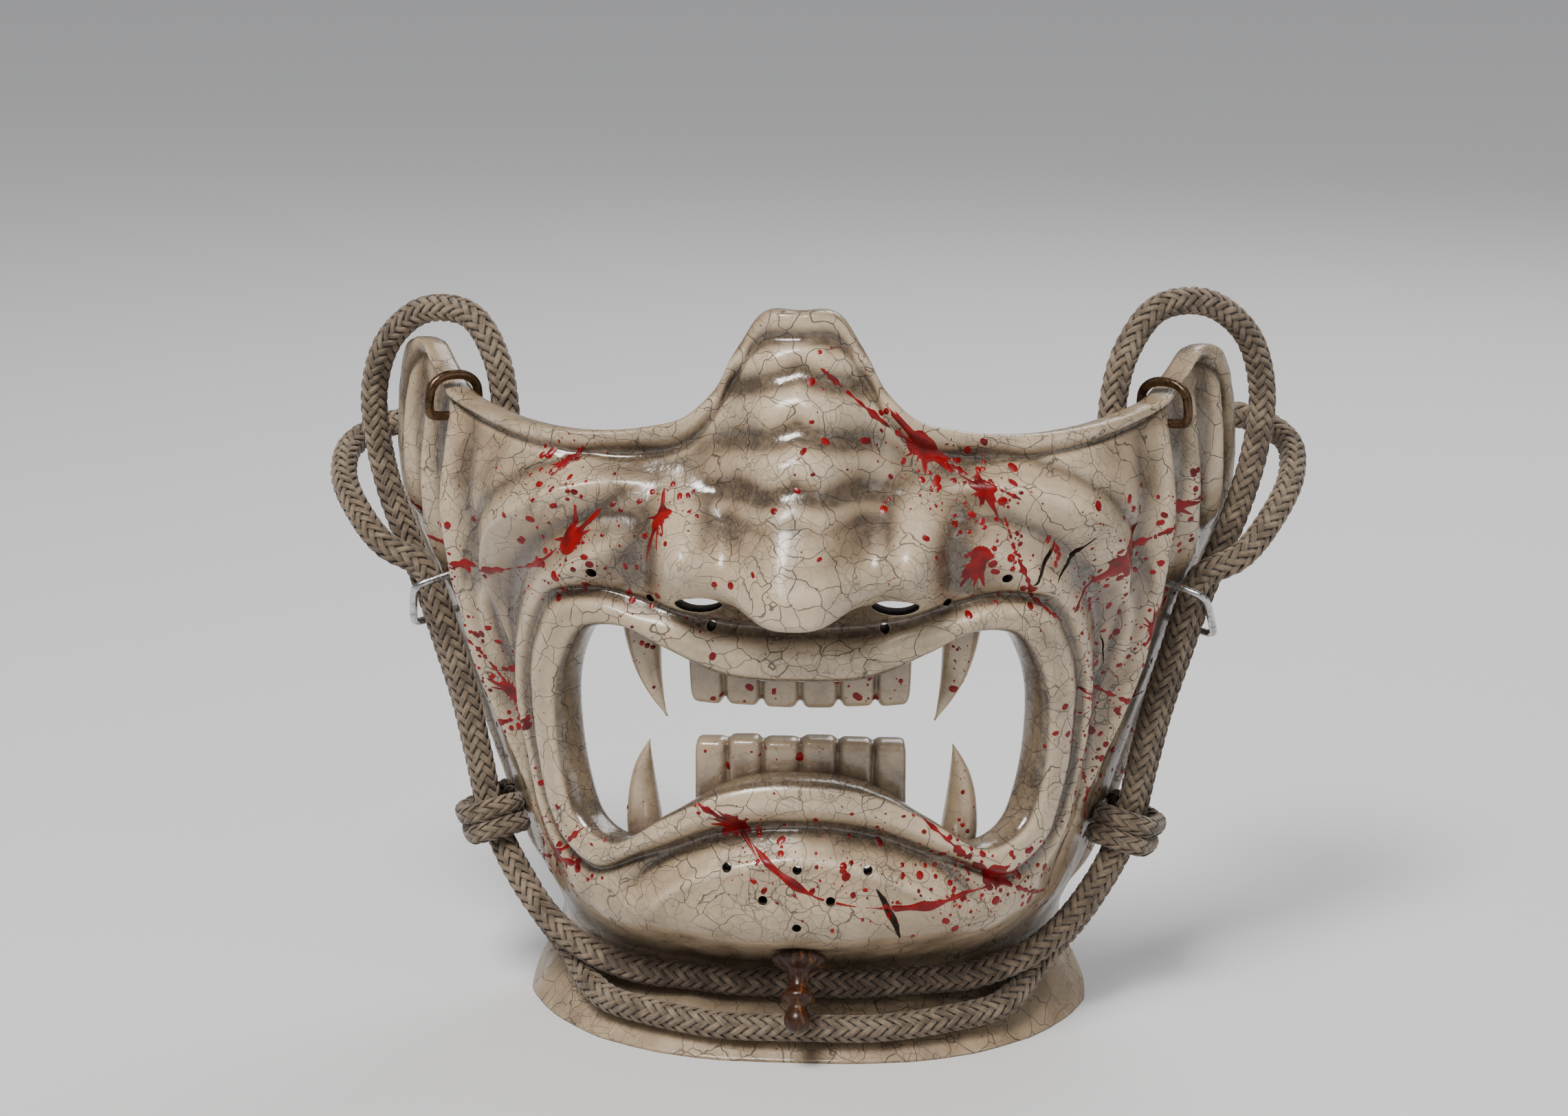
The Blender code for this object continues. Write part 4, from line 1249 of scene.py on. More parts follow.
    def joined(self, front: Array, back: Array, hollow: Array,
               ridge_wear_and_highlight: Array) -> tuple[Array, list, dict[str, Array]]:
        """Joins the two faces by rounded edges.

        Args:
            front: The outer face's net of points.
            back: The inner face's net.
            hollow: Marks of patina and painted shade on the outer net.
            ridge_wear_and_highlight: Marks of wear and painted highlight on the outer net.

        Returns:
            Points, faces and marks of the closed shell.
        """
        rows = [front]
        washed_and_shaded, rubbed_and_lit = [hollow], [ridge_wear_and_highlight]
        for at, inner in ((0, 1), (-1, -2)):
            outward = unit(front[:, at] - front[:, inner])
            steps = []
            for k in range(1, self.edge_steps + 1):
                t = k / (self.edge_steps + 1)
                bulge = self.edge_bulge * math.sqrt(1 - (2 * t - 1) ** 2)
                point = front[:, at] * (1 - t) + back[:, at] * t + outward * bulge
                on_foot = (front[:, at, 2] == 0) & (at == -1)
                point[on_foot] = (front[:, at] * (1 - t) + back[:, at] * t)[on_foot]
                steps.append(point)
            rows.append(np.stack(steps, 1))
            # painted shade on the mouth's rounded edge, and a little on the outer edge
            washed_and_shaded.append(np.full(rows[-1].shape[:2], 0.75 if at == 0 else 0.25))
            rubbed_and_lit.append(np.zeros(rows[-1].shape[:2]))
        rows.append(back)
        # the inner face gets an even share of the hollows' darkening
        washed_and_shaded.append(np.full(back.shape[:2], 0.30))
        rubbed_and_lit.append(np.zeros(back.shape[:2]))
        sizes = [row.shape[1] for row in rows]
        starts = np.cumsum([0] + [self.rays * size for size in sizes])
        faces: Faces = []

        def number(part: int, ray: int, ring: int) -> int:
            """Number of a point in one of the four nets."""
            return int(starts[part] + (ray % self.rays) * sizes[part] + ring)

        lines = [[(0, j) for j in range(sizes[0])], [(3, j) for j in range(sizes[3])]]
        lines.append([(0, 0)] + [(1, k) for k in range(sizes[1])] + [(3, 0)])
        lines.append([(0, sizes[0] - 1)] + [(2, k) for k in range(sizes[2])] + [(3, sizes[3] - 1)])
        for line, flip in zip(lines, (False, True, True, False)):
            for i in range(self.rays):
                for (p, a), (q, b) in zip(line, line[1:]):
                    corners = (number(p, i, a), number(q, i, b),
                               number(q, i + 1, b), number(p, i + 1, a))
                    faces.append(corners[::-1] if flip else corners)
        points = np.concatenate([row.reshape(-1, 3) for row in rows])
        marks = {
            "hollow": np.concatenate([row.ravel() for row in washed_and_shaded]),
            "ridge_wear_and_highlight": np.concatenate([row.ravel() for row in rubbed_and_lit]),
        }
        return points, faces, marks

    def cut(self, shell: Piece) -> None:
        """Cuts the whisker holes and nostrils, then the battle cuts.

        Args:
            shell: The uncut shell.
        """
        tree = BVHTree.FromObject(shell, bpy.context.evaluated_depsgraph_get())
        # the walls of holes and cuts take near-black painted shade
        cut_shade = CutEdge().build()
        lenses = [self.lens(tree, slash) for slash in self.slashes]
        for bodies, solver in ((self.hole_rods(), "EXACT"), (lenses, "FAST")):
            points: list[Any] = []
            faces: Faces = []
            for rings in bodies:
                faces += ring_faces(len(rings), len(rings[0]), len(points))
                points += [tuple(corner) for ring in rings for corner in ring]
            cutter = make_piece("cutters", np.array(points, float), faces, cut_shade)
            face_out(cutter)
            work = shell.modifiers.new("cuts", "BOOLEAN")
            work.operation = "DIFFERENCE"
            work.solver = solver
            if solver == "EXACT":
                work.material_mode = "TRANSFER"
            work.object = cutter
            settle(shell)
            bpy.data.objects.remove(cutter, do_unlink=True)

    def rod(self, middle: Vector, along: Vector, across: Vector, size: Triple,
            sides: int = 16) -> Rings:
        """Makes the rings of an oval rod.

        Args:
            middle: The rod's middle.
            along: Its direction.
            across: Roughly the direction of its width.
            size: Its half width, half height and half length.
            sides: Points in each ring.

        Returns:
            The two end rings.
        """
        z = along.normalized()
        x = (across - z * across.dot(z)).normalized()
        y = z.cross(x)
        wide, high, half = size
        turns = [2 * math.pi * k / sides for k in range(sides)]
        return [[middle + x * wide * math.cos(a) + y * high * math.sin(a) + z * end for a in turns]
                for end in (-half, half)]

    def hole_rods(self) -> list[Rings]:
        """Makes rods for the whisker holes and the nostrils.

        Returns:
            The rings of each rod.
        """
        wall, right = self.wall, Vector((1, 0, 0))
        rods = []
        for s, h in self.whisker_holes:
            point, normal = wall.at(s * wall.half_girth, h * wall.height)
            size = (self.whisker_radius, self.whisker_radius, self.whisker_reach)
            rods.append(self.rod(point, normal, right, size))
        place, up, *size = self.nostril
        for side in Side:
            middle = Vector((side.value * place, -wall.origin_depth, up))
            rods.append(self.rod(middle, Vector((0, -1, 0)), right, size, 28))
        return rods

    def lens(self, tree: BVHTree, slash: Slash) -> Rings:
        """Makes the lens-shaped body that one battle cut takes away.

        Args:
            tree: The shell's surface.
            slash: The cut.

        Returns:
            The body's rings.
        """
        wall, start = self.wall, slash.start
        run = (slash.end[0] - start[0], slash.end[1] - start[1])
        rings = []
        for t in np.linspace(0.02, 0.98, 9):
            s = (start[0] + run[0] * t) * wall.half_girth
            h = (start[1] + run[1] * t) * wall.height
            plain, out = wall.at(s, h)
            ahead = wall.at(s + run[0] * MM, h + run[1] * MM)[0] - plain
            point, normal, _, _ = tree.ray_cast(plain + out * wall.outside, -out)
            wobble = 0.00018 * math.sin(13 * t + 40 * start[0])
            across = normal.cross(ahead).normalized()
            point = point + across * wobble
            full = math.sin(math.pi * t) ** 0.5
            half, top = slash.wide * full, normal * 0.0016
            rings.append([point - across * half + top, point - normal * slash.deep * full,
                          point + across * half + top])
        return rings


@dataclass(frozen=True)
class Braid:
    """A hollow round braid of sixteen strands, eight each way, two over and two under."""

    radius: float = 0.00255
    wave: float = 0.00028
    half_thick: float = 0.00036
    half_wide: float = 0.00078
    pitch: float = 0.022
    core: float = 0.00175
    strands: int = 16
    per_turn: int = 32
    sides: int = 5
    core_sides: int = 10
    # the yarn noise's run along and across a strand, and from strand to strand
    yarn_along: float = 260.0
    yarn_across: float = 10.0
    yarn_shift: float = 60.0

    def count(self, length: float) -> int:
        """How many points the path of a braid of this length needs."""
        return int(length / self.pitch * self.per_turn)

    def mesh(self, path: Array, frames: tuple[Array, Array] | None = None,
             squash: Place = (1.0, 1.0), seed: int = 0) -> tuple[Array, list, dict[str, Array]]:
        """Lays all the strands and the core along a path.

        Args:
            path: Evenly spaced points of the braid's middle.
            frames: Two directions square to the path, for each point.
            squash: Shares of the round thickness along those two directions.
            seed: Which run of strand shades to use.

        Returns:
            Points, faces and marks of the whole braid.
        """
        first, second = frames if frames is not None else carried_frames(path)[1:]
        wide, high = first * squash[0], second * squash[1]
        travelled = lengths_along(path)
        along = self.strands * travelled / self.pitch
        shades = np.random.default_rng(seed).random(self.strands) * self.yarn_shift
        points, faces, total = [], [], 0
        marks: dict[str, list[Array]] = {"along": [], "across": [], "strand": [], "height": []}
        for k in range(self.strands):
            hand = 1 if k < self.strands // 2 else -1
            column = 2 * k + hand * along
            turn = 2 * math.pi * column / self.strands
            radius = self.radius + hand * self.wave * np.cos(math.pi * (column - 0.5) / 2)
            outward = np.cos(turn)[:, None] * wide + np.sin(turn)[:, None] * high
            middle = path + outward * radius[:, None]
            ahead = unit(np.gradient(middle, axis=0))
            lift = unit(outward - ahead * (outward * ahead).sum(-1, keepdims=True))
            across = np.cross(ahead, lift)
            thick = self.half_thick * min(squash)
            rings = []
            for j in range(self.sides):
                angle = math.pi + 2 * math.pi * j / self.sides
                rings.append(middle + lift * (thick * math.cos(angle))
                             + across * (self.half_wide * math.sin(angle)))
                level = radius + self.half_thick * math.cos(angle)
                low = self.radius - self.wave
                marks["height"].append((level - low) / (2 * self.wave + self.half_thick))
                marks["across"].append(np.full(len(path), self.yarn_across * j / self.sides))
            stacked = np.stack(rings, 1).reshape(-1, 3)
            for key in ("height", "across"):
                marks[key][-self.sides:] = [np.stack(marks[key][-self.sides:], 1).ravel()]
            marks["along"].append(np.repeat(travelled * self.yarn_along, self.sides))
            marks["strand"].append(np.full(len(stacked), shades[k]))
            faces += ring_faces(len(path), self.sides, total)
            points.append(stacked)
            total += len(stacked)
        core = tube_rings(path, wide, high, self.core, self.core_sides)[::2]
        points.append(core.reshape(-1, 3))
        faces += ring_faces(len(core), self.core_sides, total)
        for key in marks:
            marks[key].append(np.zeros(len(points[-1])))
        joined = {key: np.concatenate(rows) for key, rows in marks.items()}
        return np.concatenate(points), faces, joined


@dataclass
class BraidedCords:
    """The chin cord, laid double: two braided strands, their knots and the ends' stopper knots."""

    wall: MaskWall
    diameter: float = 0.0062
    lengths: tuple[float, float] = (0.560, 0.519)
    knot_stop: int = 6
    knot_wall: float = 0.0032
    knot_slack: float = 0.0009
    knot_rise: float = 0.0046
    knot_tuck: float = 0.0016
    knot_squash: Place = (0.60, 0.80)
    stopper_turns: float = 2.2
    stopper_points: int = 150
    stopper_length: float = 0.0052
    stopper_radius: float = 0.0031
    stopper_taper: float = 0.0012
    stopper_squash: Place = (0.62, 0.62)
    yarn: Material = field(init=False)
    # stops of the two routes: round, up and distance off the wall in cord diameters
    outer_right: Table = (
        (0.000, 0.030, 0.64), (0.140, 0.030, 0.64), (0.280, 0.032, 0.64), (0.420, 0.038, 0.68),
        (0.545, 0.075, 0.80), (0.640, 0.160, 1.00), (0.712, 0.257, 1.20), (0.757, 0.337, 0.98),
        (0.797, 0.417, 0.78), (0.827, 0.490, 0.74), (0.850, 0.560, 0.74), (0.888, 0.625, 0.80),
        (0.932, 0.690, 0.97), (0.965, 0.760, 1.20), (0.975, 0.840, 1.35), (0.940, 0.920, 1.10),
        (0.870, 0.970, 0.25), (0.780, 0.972, -0.85), (0.710, 0.920, -1.50), (0.672, 0.860, -1.65),
        (0.655, 0.800, -1.60),
    )
    outer_left_end: Table = (
        (0.960, 0.755, 1.15), (0.965, 0.830, 1.25), (0.925, 0.905, 0.95), (0.850, 0.955, 0.05),
        (0.765, 0.955, -1.00), (0.705, 0.905, -1.55), (0.672, 0.850, -1.65), (0.655, 0.800, -1.60),
    )
    inner_right: Table = (
        (0.000, 0.090, 0.98), (0.140, 0.091, 1.00), (0.270, 0.093, 1.02), (0.390, 0.104, 1.06),
        (0.500, 0.143, 1.06), (0.592, 0.206, 1.08), (0.660, 0.278, 1.20), (0.703, 0.354, 1.00),
        (0.742, 0.432, 0.80), (0.772, 0.504, 0.76), (0.794, 0.566, 0.74), (0.818, 0.606, 0.78),
        (0.850, 0.642, 1.82), (0.925, 0.688, 2.36), (1.015, 0.733, 2.36), (1.090, 0.762, 1.62),
        (1.120, 0.779, 0.17), (1.090, 0.788, -1.30), (1.015, 0.791, -1.98), (0.930, 0.790, -1.88),
        (0.850, 0.786, -1.72), (0.770, 0.780, -1.65),
    )
    inner_left_end: Table = (
        (0.925, 0.682, 2.36), (1.015, 0.718, 2.36), (1.090, 0.742, 1.62), (1.120, 0.757, 0.17),
        (1.090, 0.766, -1.30), (1.015, 0.770, -1.98), (0.930, 0.771, -1.88), (0.850, 0.769, -1.72),
        (0.770, 0.765, -1.65),
    )

    def build(self) -> None:
        """Builds both strands and all the knots."""
        self.yarn = CordYarn().build()
        knots = [self.wrap(side) for side in Side]
        for index, (name, node, right, left_end) in enumerate((
            ("outer_braid", "outer_cord", self.outer_right, self.outer_left_end),
            ("inner_braid", "inner_cord", self.inner_right, self.inner_left_end),
        )):
            left = right[: len(right) - len(left_end)] + left_end
            self.strand(name, node, right, left, self.lengths[index], knots if index == 0 else [])

    def off_wall(self, stops: Array) -> Array:
        """Points of a route from its stops."""
        s, h = stops[:, 0] * self.wall.half_girth, stops[:, 1] * self.wall.height
        return self.wall.plain(s, h) + self.wall.normal(s, h) * (stops[:, 2:] * self.diameter)

    def strand(self, name: str, node: str, right: Table, left: Table, length: float,
               knots: list[Piece]) -> None:
        """Builds one braided strand and the stopper knots on its two ends.

        Args:
            name: The strand's name.
            node: The solid that it stands for.
            right: Stops of its right half.
            left: Stops of its left half.
            length: Its real length.
            knots: Knots that sit on it; not used.
        """
        stops = np.array([(-s, h, off) for s, h, off in left[:0:-1]] + list(right))
        route = self.off_wall(stops)
        braid = Braid()
        path = curve_through(route, braid.count(length))
        points, faces, marks = braid.mesh(path, seed=len(name))
        piece = make_piece(name, points, faces, self.yarn, marks)
        seat(piece, "braided_cord", node)
        ends = [self.stopper(name + "_end_" + side.word, path[::side.value]) for side in Side]

    def stopper(self, name: str, path: Array) -> Piece:
        """Winds a stopper knot round the last stretch of a strand.

        Args:
            name: The knot's name.
            path: The strand's path, which ends at the knot.

        Returns:
            The knot.
        """
        end, before = Vector(path[-1]), Vector(path[-6])
        ahead = (end - before).normalized()
        side = ahead.orthogonal().normalized()
        other = ahead.cross(side)
        t = np.linspace(0, 1, self.stopper_points)
        angle = 2 * math.pi * self.stopper_turns * t
        reach = self.stopper_radius - self.stopper_taper * (2 * t - 1) ** 4
        shift = self.stopper_length * (t - 0.75)
        middle = np.array(end)[None] + np.array(ahead)[None] * shift[:, None]
        out = np.cos(angle)[:, None] * np.array(side) + np.sin(angle)[:, None] * np.array(other)
        wound = middle + out * reach[:, None]
        frames = (out, np.cross(unit(np.gradient(wound, axis=0)), out))
        points, faces, marks = Braid().mesh(wound, frames, self.stopper_squash, seed=3)
        piece = make_piece(name, points, faces, self.yarn, marks)
        seat(piece, "braided_cord")
        return piece

    def wrap(self, side: Side) -> Piece:
        """Winds two flat turns of cord round both strands at the jaw.

        Args:
            side: The side of the mask.

        Returns:
            The knot.
        """
        rows = [self.outer_right[self.knot_stop + step] for step in (-1, 0, 1)]
        rows.append(self.inner_right[self.knot_stop])
        stops = np.array([(side.value * s, h, off) for s, h, off in rows])
        below, outer, above, inner = self.off_wall(stops)
        middle = (outer + inner) / 2
        z = unit(above - below)
        x = unit((outer - inner) - z * (outer - inner).dot(z))
        y = side.value * np.cross(z, x)
        spread = np.linalg.norm(outer - inner) / 2
        reach = self.diameter / 2 + self.knot_slack + 0.5 * self.knot_wall + self.wall.fit_gap
        straight, bend = 2 * spread, math.pi * reach
        total = 2 * (straight + bend)
        count = 2 * Braid().count(total)
        travelled = np.linspace(0.02, 1.98, count) * total
        rings, outward = [], []
        for step in travelled:
            rest = (step + straight / 2) % total
            half, rest = (1, rest) if rest < straight + bend else (-1, rest - straight - bend)
            if rest < straight:
                flat, turn = spread - rest, math.pi / 2
            else:
                flat, turn = -spread, math.pi / 2 + (rest - straight) / reach
            out = half * (math.cos(turn) * x + math.sin(turn) * y)
            shift = (step / total - 1) * self.knot_rise
            rings.append(middle + half * flat * x + out * reach + z * shift)
            outward.append(out)
        path, out = np.array(rings), np.array(outward)
        t = np.linspace(0, 1, count)
        tuck = (ease(t, 0.0, 0.05) * ease(1 - t, 0.0, 0.05))[:, None]
        path = path - out * (1 - tuck) * self.knot_tuck
        across = np.cross(unit(np.gradient(path, axis=0)), out)
        frames = (out * (0.35 + 0.65 * tuck), across * (0.35 + 0.65 * tuck))
        points, faces, marks = Braid().mesh(path, frames, self.knot_squash, seed=5)
        piece = make_piece("jaw_knot_" + side.word, points, faces, self.yarn, marks)
        seat(piece, "braided_cord", "knot_" + side.word)
        return piece


@dataclass
class ToothSet:
    """The two rows of blunt teeth and the four fangs."""

    wall: MaskWall
    count: int = 6
    samples: int = 10
    half_widths: Place = (0.0255, 0.0250)
    heights: Place = (0.0100, 0.0065)
    depth: float = 0.0065
    root: float = 0.0060
    fang_radius: float = 0.0050
    fang_bow: float = 0.0034
    fang_rings: int = 30
    fang_sides: int = 20
    # fangs of each row: length, place as a share of the mouth's half width, lean of the tip
    fangs: Table = ((0.0235, 0.68, 0.0060), (0.0200, 0.70, 0.0020))
    lacquer: Material = field(init=False)

    def build(self) -> list[Piece]:
        """Builds the rows and the fangs.

        Returns:
            All six pieces.
        """
        self.lacquer = ToothLacquer().build()
        teeth = []
        for index, row in enumerate(Row):
            teeth.append(self.row(row, self.half_widths[index], self.heights[index]))
            teeth += [self.fang(row, side, *self.fangs[index]) for side in Side]
        return teeth

    def row(self, row: Row, half_width: float, height: float) -> Piece:
        """Builds one row of teeth, with a groove between each two.

        Args:
            row: Which row.
            half_width: Half the row's width.
            height: How far the teeth stand out of the lip.

        Returns:
            The row.
        """
        up = row.value
        middle = self.wall.mouth_up(0, row)
        tooth = 2 * half_width / self.count
        rings, hollow = [], []
        for i in range(self.count * self.samples + 1):
            place = (i / self.samples) % 1.0
            edge = abs(2 * place - 1)
            groove = max(0.0, (edge - 0.62) / 0.38) ** 2.2
            around = -half_width + i * tooth / self.samples
            root = self.wall.mouth_up(around, row) + up * self.root
            front = self.depth * 0.30 * groove
            uneven = 0.00022 * math.sin(2.7 * (i // self.samples) + 1.1 * up)
            bowed = 1 - 0.10 * (around / half_width) ** 2
            tip = middle - up * (height + uneven) * (1 - 0.16 * groove) * bowed
            lip = root - up * self.root
            back = self.depth - 0.10 * self.depth * groove
            section = (
                (root, 0.3 * self.depth), (lip, front), (tip + up * 0.45 * height, front * 0.9),
                (tip + up * 0.10 * height, front + 0.04 * self.depth),
                (tip, front + 0.30 * self.depth), (tip, 0.72 * self.depth),
                (tip + up * 0.2 * height, back), (lip, back), (root, back),
            )
            heights, depths = np.array(section).T
            rings.append(self.wall.behind_lip(0 * heights + around, heights, depths))
            # painted shade: dark at the roots, the backs and the grooves between the teeth
            shade = min(1.0, 1.5 * groove)
            hollow.append([1.0, 0.85, max(0.34, shade), max(0.10, shade),
                           0.18, 0.25, 0.5, 1.0, 1.0])
        piece = make_piece(row.word + "_tooth_row", np.concatenate(rings),
                           ring_faces(len(rings), len(rings[0])), self.lacquer,
                           {"hollow": np.array(hollow).ravel()})
        face_out(piece)
        piece.modifiers.new("round", "SUBSURF").levels = 2
        settle(piece)
        piece.data.shade_smooth()
        seat(piece, "tooth_lacquer", row.word + "_teeth")
        return piece

    def fang(self, row: Row, side: Side, length: float, place: float, lean: float) -> Piece:
        """Builds one curved fang.

        Args:
            row: The row that it stands beside.
            side: The side of the mouth.
            length: How far it stands out of the lip.
            place: Its place as a share of the mouth's half width.
            lean: How far its tip leans to the middle.

        Returns:
            The fang.
        """
        up = row.value
        around = place * self.wall.mouth_half_width
        root = self.wall.mouth_up(around, row) + up * self.root
        rings, hollow = [], []
        turns = 2 * math.pi * np.arange(self.fang_sides) / self.fang_sides
        oval = 1 + 0.10 * np.cos(2 * turns)
        for t in np.linspace(0, 1, self.fang_rings):
            radius = self.fang_radius * max(1 - t**2.3, 0.07) * (0.7 if t == 1 else 1.0)
            bow = self.fang_bow * math.sin(math.pi * t) - lean * t
            forward = 0.8 * self.fang_radius * float(ease(np.array(t), 0.35, 1.0))
            s = side.value * (around + bow + radius * oval * np.cos(turns))
            h = np.full(self.fang_sides, root - up * (length + self.root) * t)
            depth = self.fang_radius - forward + radius * np.sin(turns)
            rings.append(self.wall.behind_lip(s, h, depth))
            # painted shade, dark under the lip and fading toward the tip
            hollow.append(np.full(self.fang_sides, 1 - float(ease(np.array(t), 0.12, 0.62))))
        name = "_".join((row.word, "fang", side.word))
        piece = make_piece(name, np.concatenate(rings),
                           ring_faces(self.fang_rings, self.fang_sides), self.lacquer,
                           {"hollow": np.concatenate(hollow)})
        face_out(piece)
        seat(piece, "tooth_lacquer", "_".join(("fang", row.word, side.word)))
        return piece


@dataclass
class ChinPeg:
    """The turned peg under the chin, with its petalled rosette."""

    wall: MaskWall
    up: float = 0.0255
    radius: float = 0.0062
    length: float = 0.0170
    sides: int = 60
    petals: int = 10
    feelers: int = 16
    # profile: shares of the length and of the radius
    profile: Path = (
        (0.00, 0.30), (0.00, 0.97), (0.03, 1.00), (0.08, 0.99), (0.11, 0.92), (0.135, 0.80),
        (0.15, 0.74), (0.18, 0.52), (0.22, 0.40), (0.30, 0.345), (0.38, 0.34), (0.43, 0.38),
        (0.465, 0.50), (0.50, 0.58), (0.54, 0.60), (0.575, 0.57), (0.60, 0.46), (0.63, 0.35),
        (0.67, 0.32), (0.71, 0.36), (0.76, 0.44), (0.82, 0.475), (0.88, 0.455), (0.94, 0.36),
        (0.98, 0.22), (1.00, 0.08),
    )

    def build(self) -> None:
        """Builds the peg square to the underside of the chin."""
        point, normal = self.wall.at(0.0, self.up, self.wall.rise_at(0.0, self.up))
        seat_off = self.seat_off(point, normal)
        x = Vector((1, 0, 0))
        y = normal.cross(x)
        points = []
        for along, wide in self.profile:
            for k in range(self.sides):
                turn = 2 * math.pi * k / self.sides
                notch = 0.075 * abs(math.cos(self.petals * turn / 2)) ** 6
                r = wide * self.radius * (1 - notch if wide > 0.7 else 1.0)
                foot = point + normal * (seat_off + along * self.length)
                points.append(foot + x * (r * math.cos(turn)) + y * (r * math.sin(turn)))
        faces = ring_faces(len(self.profile), self.sides)
        piece = make_piece("turned_peg", np.array(points), faces, PegWood().build())
        face_out(piece)
        seat(piece, "peg_wood", "chin_peg")

    def seat_off(self, point: Vector, normal: Vector) -> float:
        """How far the peg's foot stands off the wall at its middle.

        Args:
            point: The wall's point under the peg's middle.
            normal: The peg's direction.

        Returns:
            The distance that clears the wall all round.
        """
        slope = math.sqrt(max(1 - normal.z**2, 0.1))
        reach = [0.0]
        for k in range(self.feelers):
            turn = 2 * math.pi * k / self.feelers
            s = self.radius * math.cos(turn)
            h = self.up + self.radius * slope * math.sin(turn)
            reach.append((self.wall.at(s, h, self.wall.rise_at(s, h))[0] - point).dot(normal))
        return max(reach) + self.wall.fit_gap


@dataclass
class WireHooks:
    """The bronze rings over the top edge and the steel staples across the strands."""

    wall: MaskWall
    top_radius: float = 0.00105
    top_round: float = 0.0915
    top_drop: float = 0.0060
    top_front: float = 0.0046
    side_radius: float = 0.0009
    side_round: float = 0.1065
    side_reach: float = 0.0180
    side_up: float = 0.0930
    side_length: float = 0.0140
    side_standoff: float = 0.0100
    side_bend: float = 0.0022
    side_tail: float = 0.0012
    wire_sides: int = 14
    bronze: WireMetal = WireMetal("dark_bronze", (0.105, 0.058, 0.030), (0.032, 0.019, 0.012),
                                  0.24, 0.8)
    steel: WireMetal = WireMetal("hook_steel", (0.52, 0.52, 0.53), (0.20, 0.185, 0.17), 0.24)

    def build(self) -> None:
        """Bends all four hooks."""
        bronze, steel = self.bronze.build(), self.steel.build()
        for side in Side:
            word = side.word
            ring = self.wire("top_ring_" + word, self.top_path(side), self.top_radius, bronze, True)
            seat(ring, "dark_bronze", "top_hook_" + word)
            staple = self.wire("side_staple_" + word, self.side_path(side), self.side_radius, steel)
            seat(staple, "hook_steel", "side_hook_" + word)

    def rounded(self, corners: Array, closed: bool) -> Array:
        """Rounds a path by cutting its corners three times.

        Args:
            corners: The path's corners.
            closed: Whether its ends meet.

        Returns:
            The rounded path.
        """
        for _ in range(3):
            if closed:
                after = np.roll(corners, -1, axis=0)
                cut = np.stack([0.75 * corners + 0.25 * after, 0.25 * corners + 0.75 * after], 1)
                corners = cut.reshape(-1, 3)
            else:
                a, b = corners[:-1], corners[1:]
                cut = np.stack([0.75 * a + 0.25 * b, 0.25 * a + 0.75 * b], 1).reshape(-1, 3)
                corners = np.concatenate([corners[:1], cut, corners[-1:]])
        return corners

    def wire(self, name: str, corners: Array, radius: float, metal: Material,
             closed: bool = False) -> Piece:
        """Sweeps a round wire along a rounded path.

        Args:
            name: The piece's name.
            corners: The path's corners.
            radius: The wire's radius.
            metal: Its material.
            closed: Whether its ends meet.

        Returns:
            The wire.
        """
        path = self.rounded(corners, closed)
        _, first, second = carried_frames(path, closed)
        rings = tube_rings(path, first, second, radius, self.wire_sides)
        faces = ring_faces(len(path), self.wire_sides, closed=closed)
        piece = make_piece(name, rings.reshape(-1, 3), faces, metal)
        face_out(piece)
        return piece

    def top_path(self, side: Side) -> Array:
        """Leads a ring through the wall and over its top edge.

        Args:
            side: The side of the mask.

        Returns:
            The corners of its path.
        """
        around, step = side.value * self.top_round, self.wall.probe
        up = self.wall.edge_up(around) - self.top_drop
        plain, normal = self.wall.at(around, up)
        ahead = self.wall.at(around + step, up)[0] - self.wall.at(around - step, up)[0]
        upward = normal.cross(ahead).normalized()
        upward = -upward if upward.z < 0 else upward
        clear = self.top_radius + 2 * self.wall.fit_gap
        out, back = self.top_front + clear, -(self.wall.wall + clear)
        rise = self.top_drop + clear + self.wall.fit_gap
        corners = ((out, 0.14), (out, 0.5), (0.92 * out, 0.88), (0.5 * out, 1.12), (0.0, 1.16),
                   (0.5 * back, 1.12), (0.92 * back, 0.88), (back, 0.5), (back, 0.14),
                   (0.86 * back, 0.0), (0.86 * out, 0.0))
        return np.array([plain + normal * off + upward * (share * rise)
                         for off, share in corners])

    def side_path(self, side: Side) -> Array:
        """Leads a staple from its front foot over the strands to its back foot.

        Args:
            side: The side of the mask.

        Returns:
            The corners of its path.
        """
        feet = []
        for step in (-1, 1):
            s = side.value * (self.side_round + step * self.side_reach / 2)
            h = self.side_up - step * self.side_length / 2
            feet.append(self.wall.at(s, h, self.wall.rise_at(s, h)))
        (front, front_out), (back, back_out) = feet
        inside, top = -self.wall.wall - self.side_tail, self.side_standoff
        shoulder, bend = top - self.side_bend, top - 0.3 * self.side_bend
        return np.array([
            front + front_out * inside, front + front_out * shoulder,
            front.lerp(back, 0.05) + front_out * bend, front.lerp(back, 0.14) + front_out * top,
            front.lerp(back, 0.86) + back_out * top, front.lerp(back, 0.95) + back_out * bend,
            back + back_out * shoulder, back + back_out * inside])


@dataclass(frozen=True)
class Streak:
    """A thrown line of paint: its path on the wall, its widest half width and its drops."""

    path: Path
    width: float
    drops: int
    spread: float


@dataclass(frozen=True)
class Blot:
    """A splash: its place on the wall, its radius, its stretch and the stretch's turn."""

    place: Place
    radius: float
    stretch: float
    turn: float


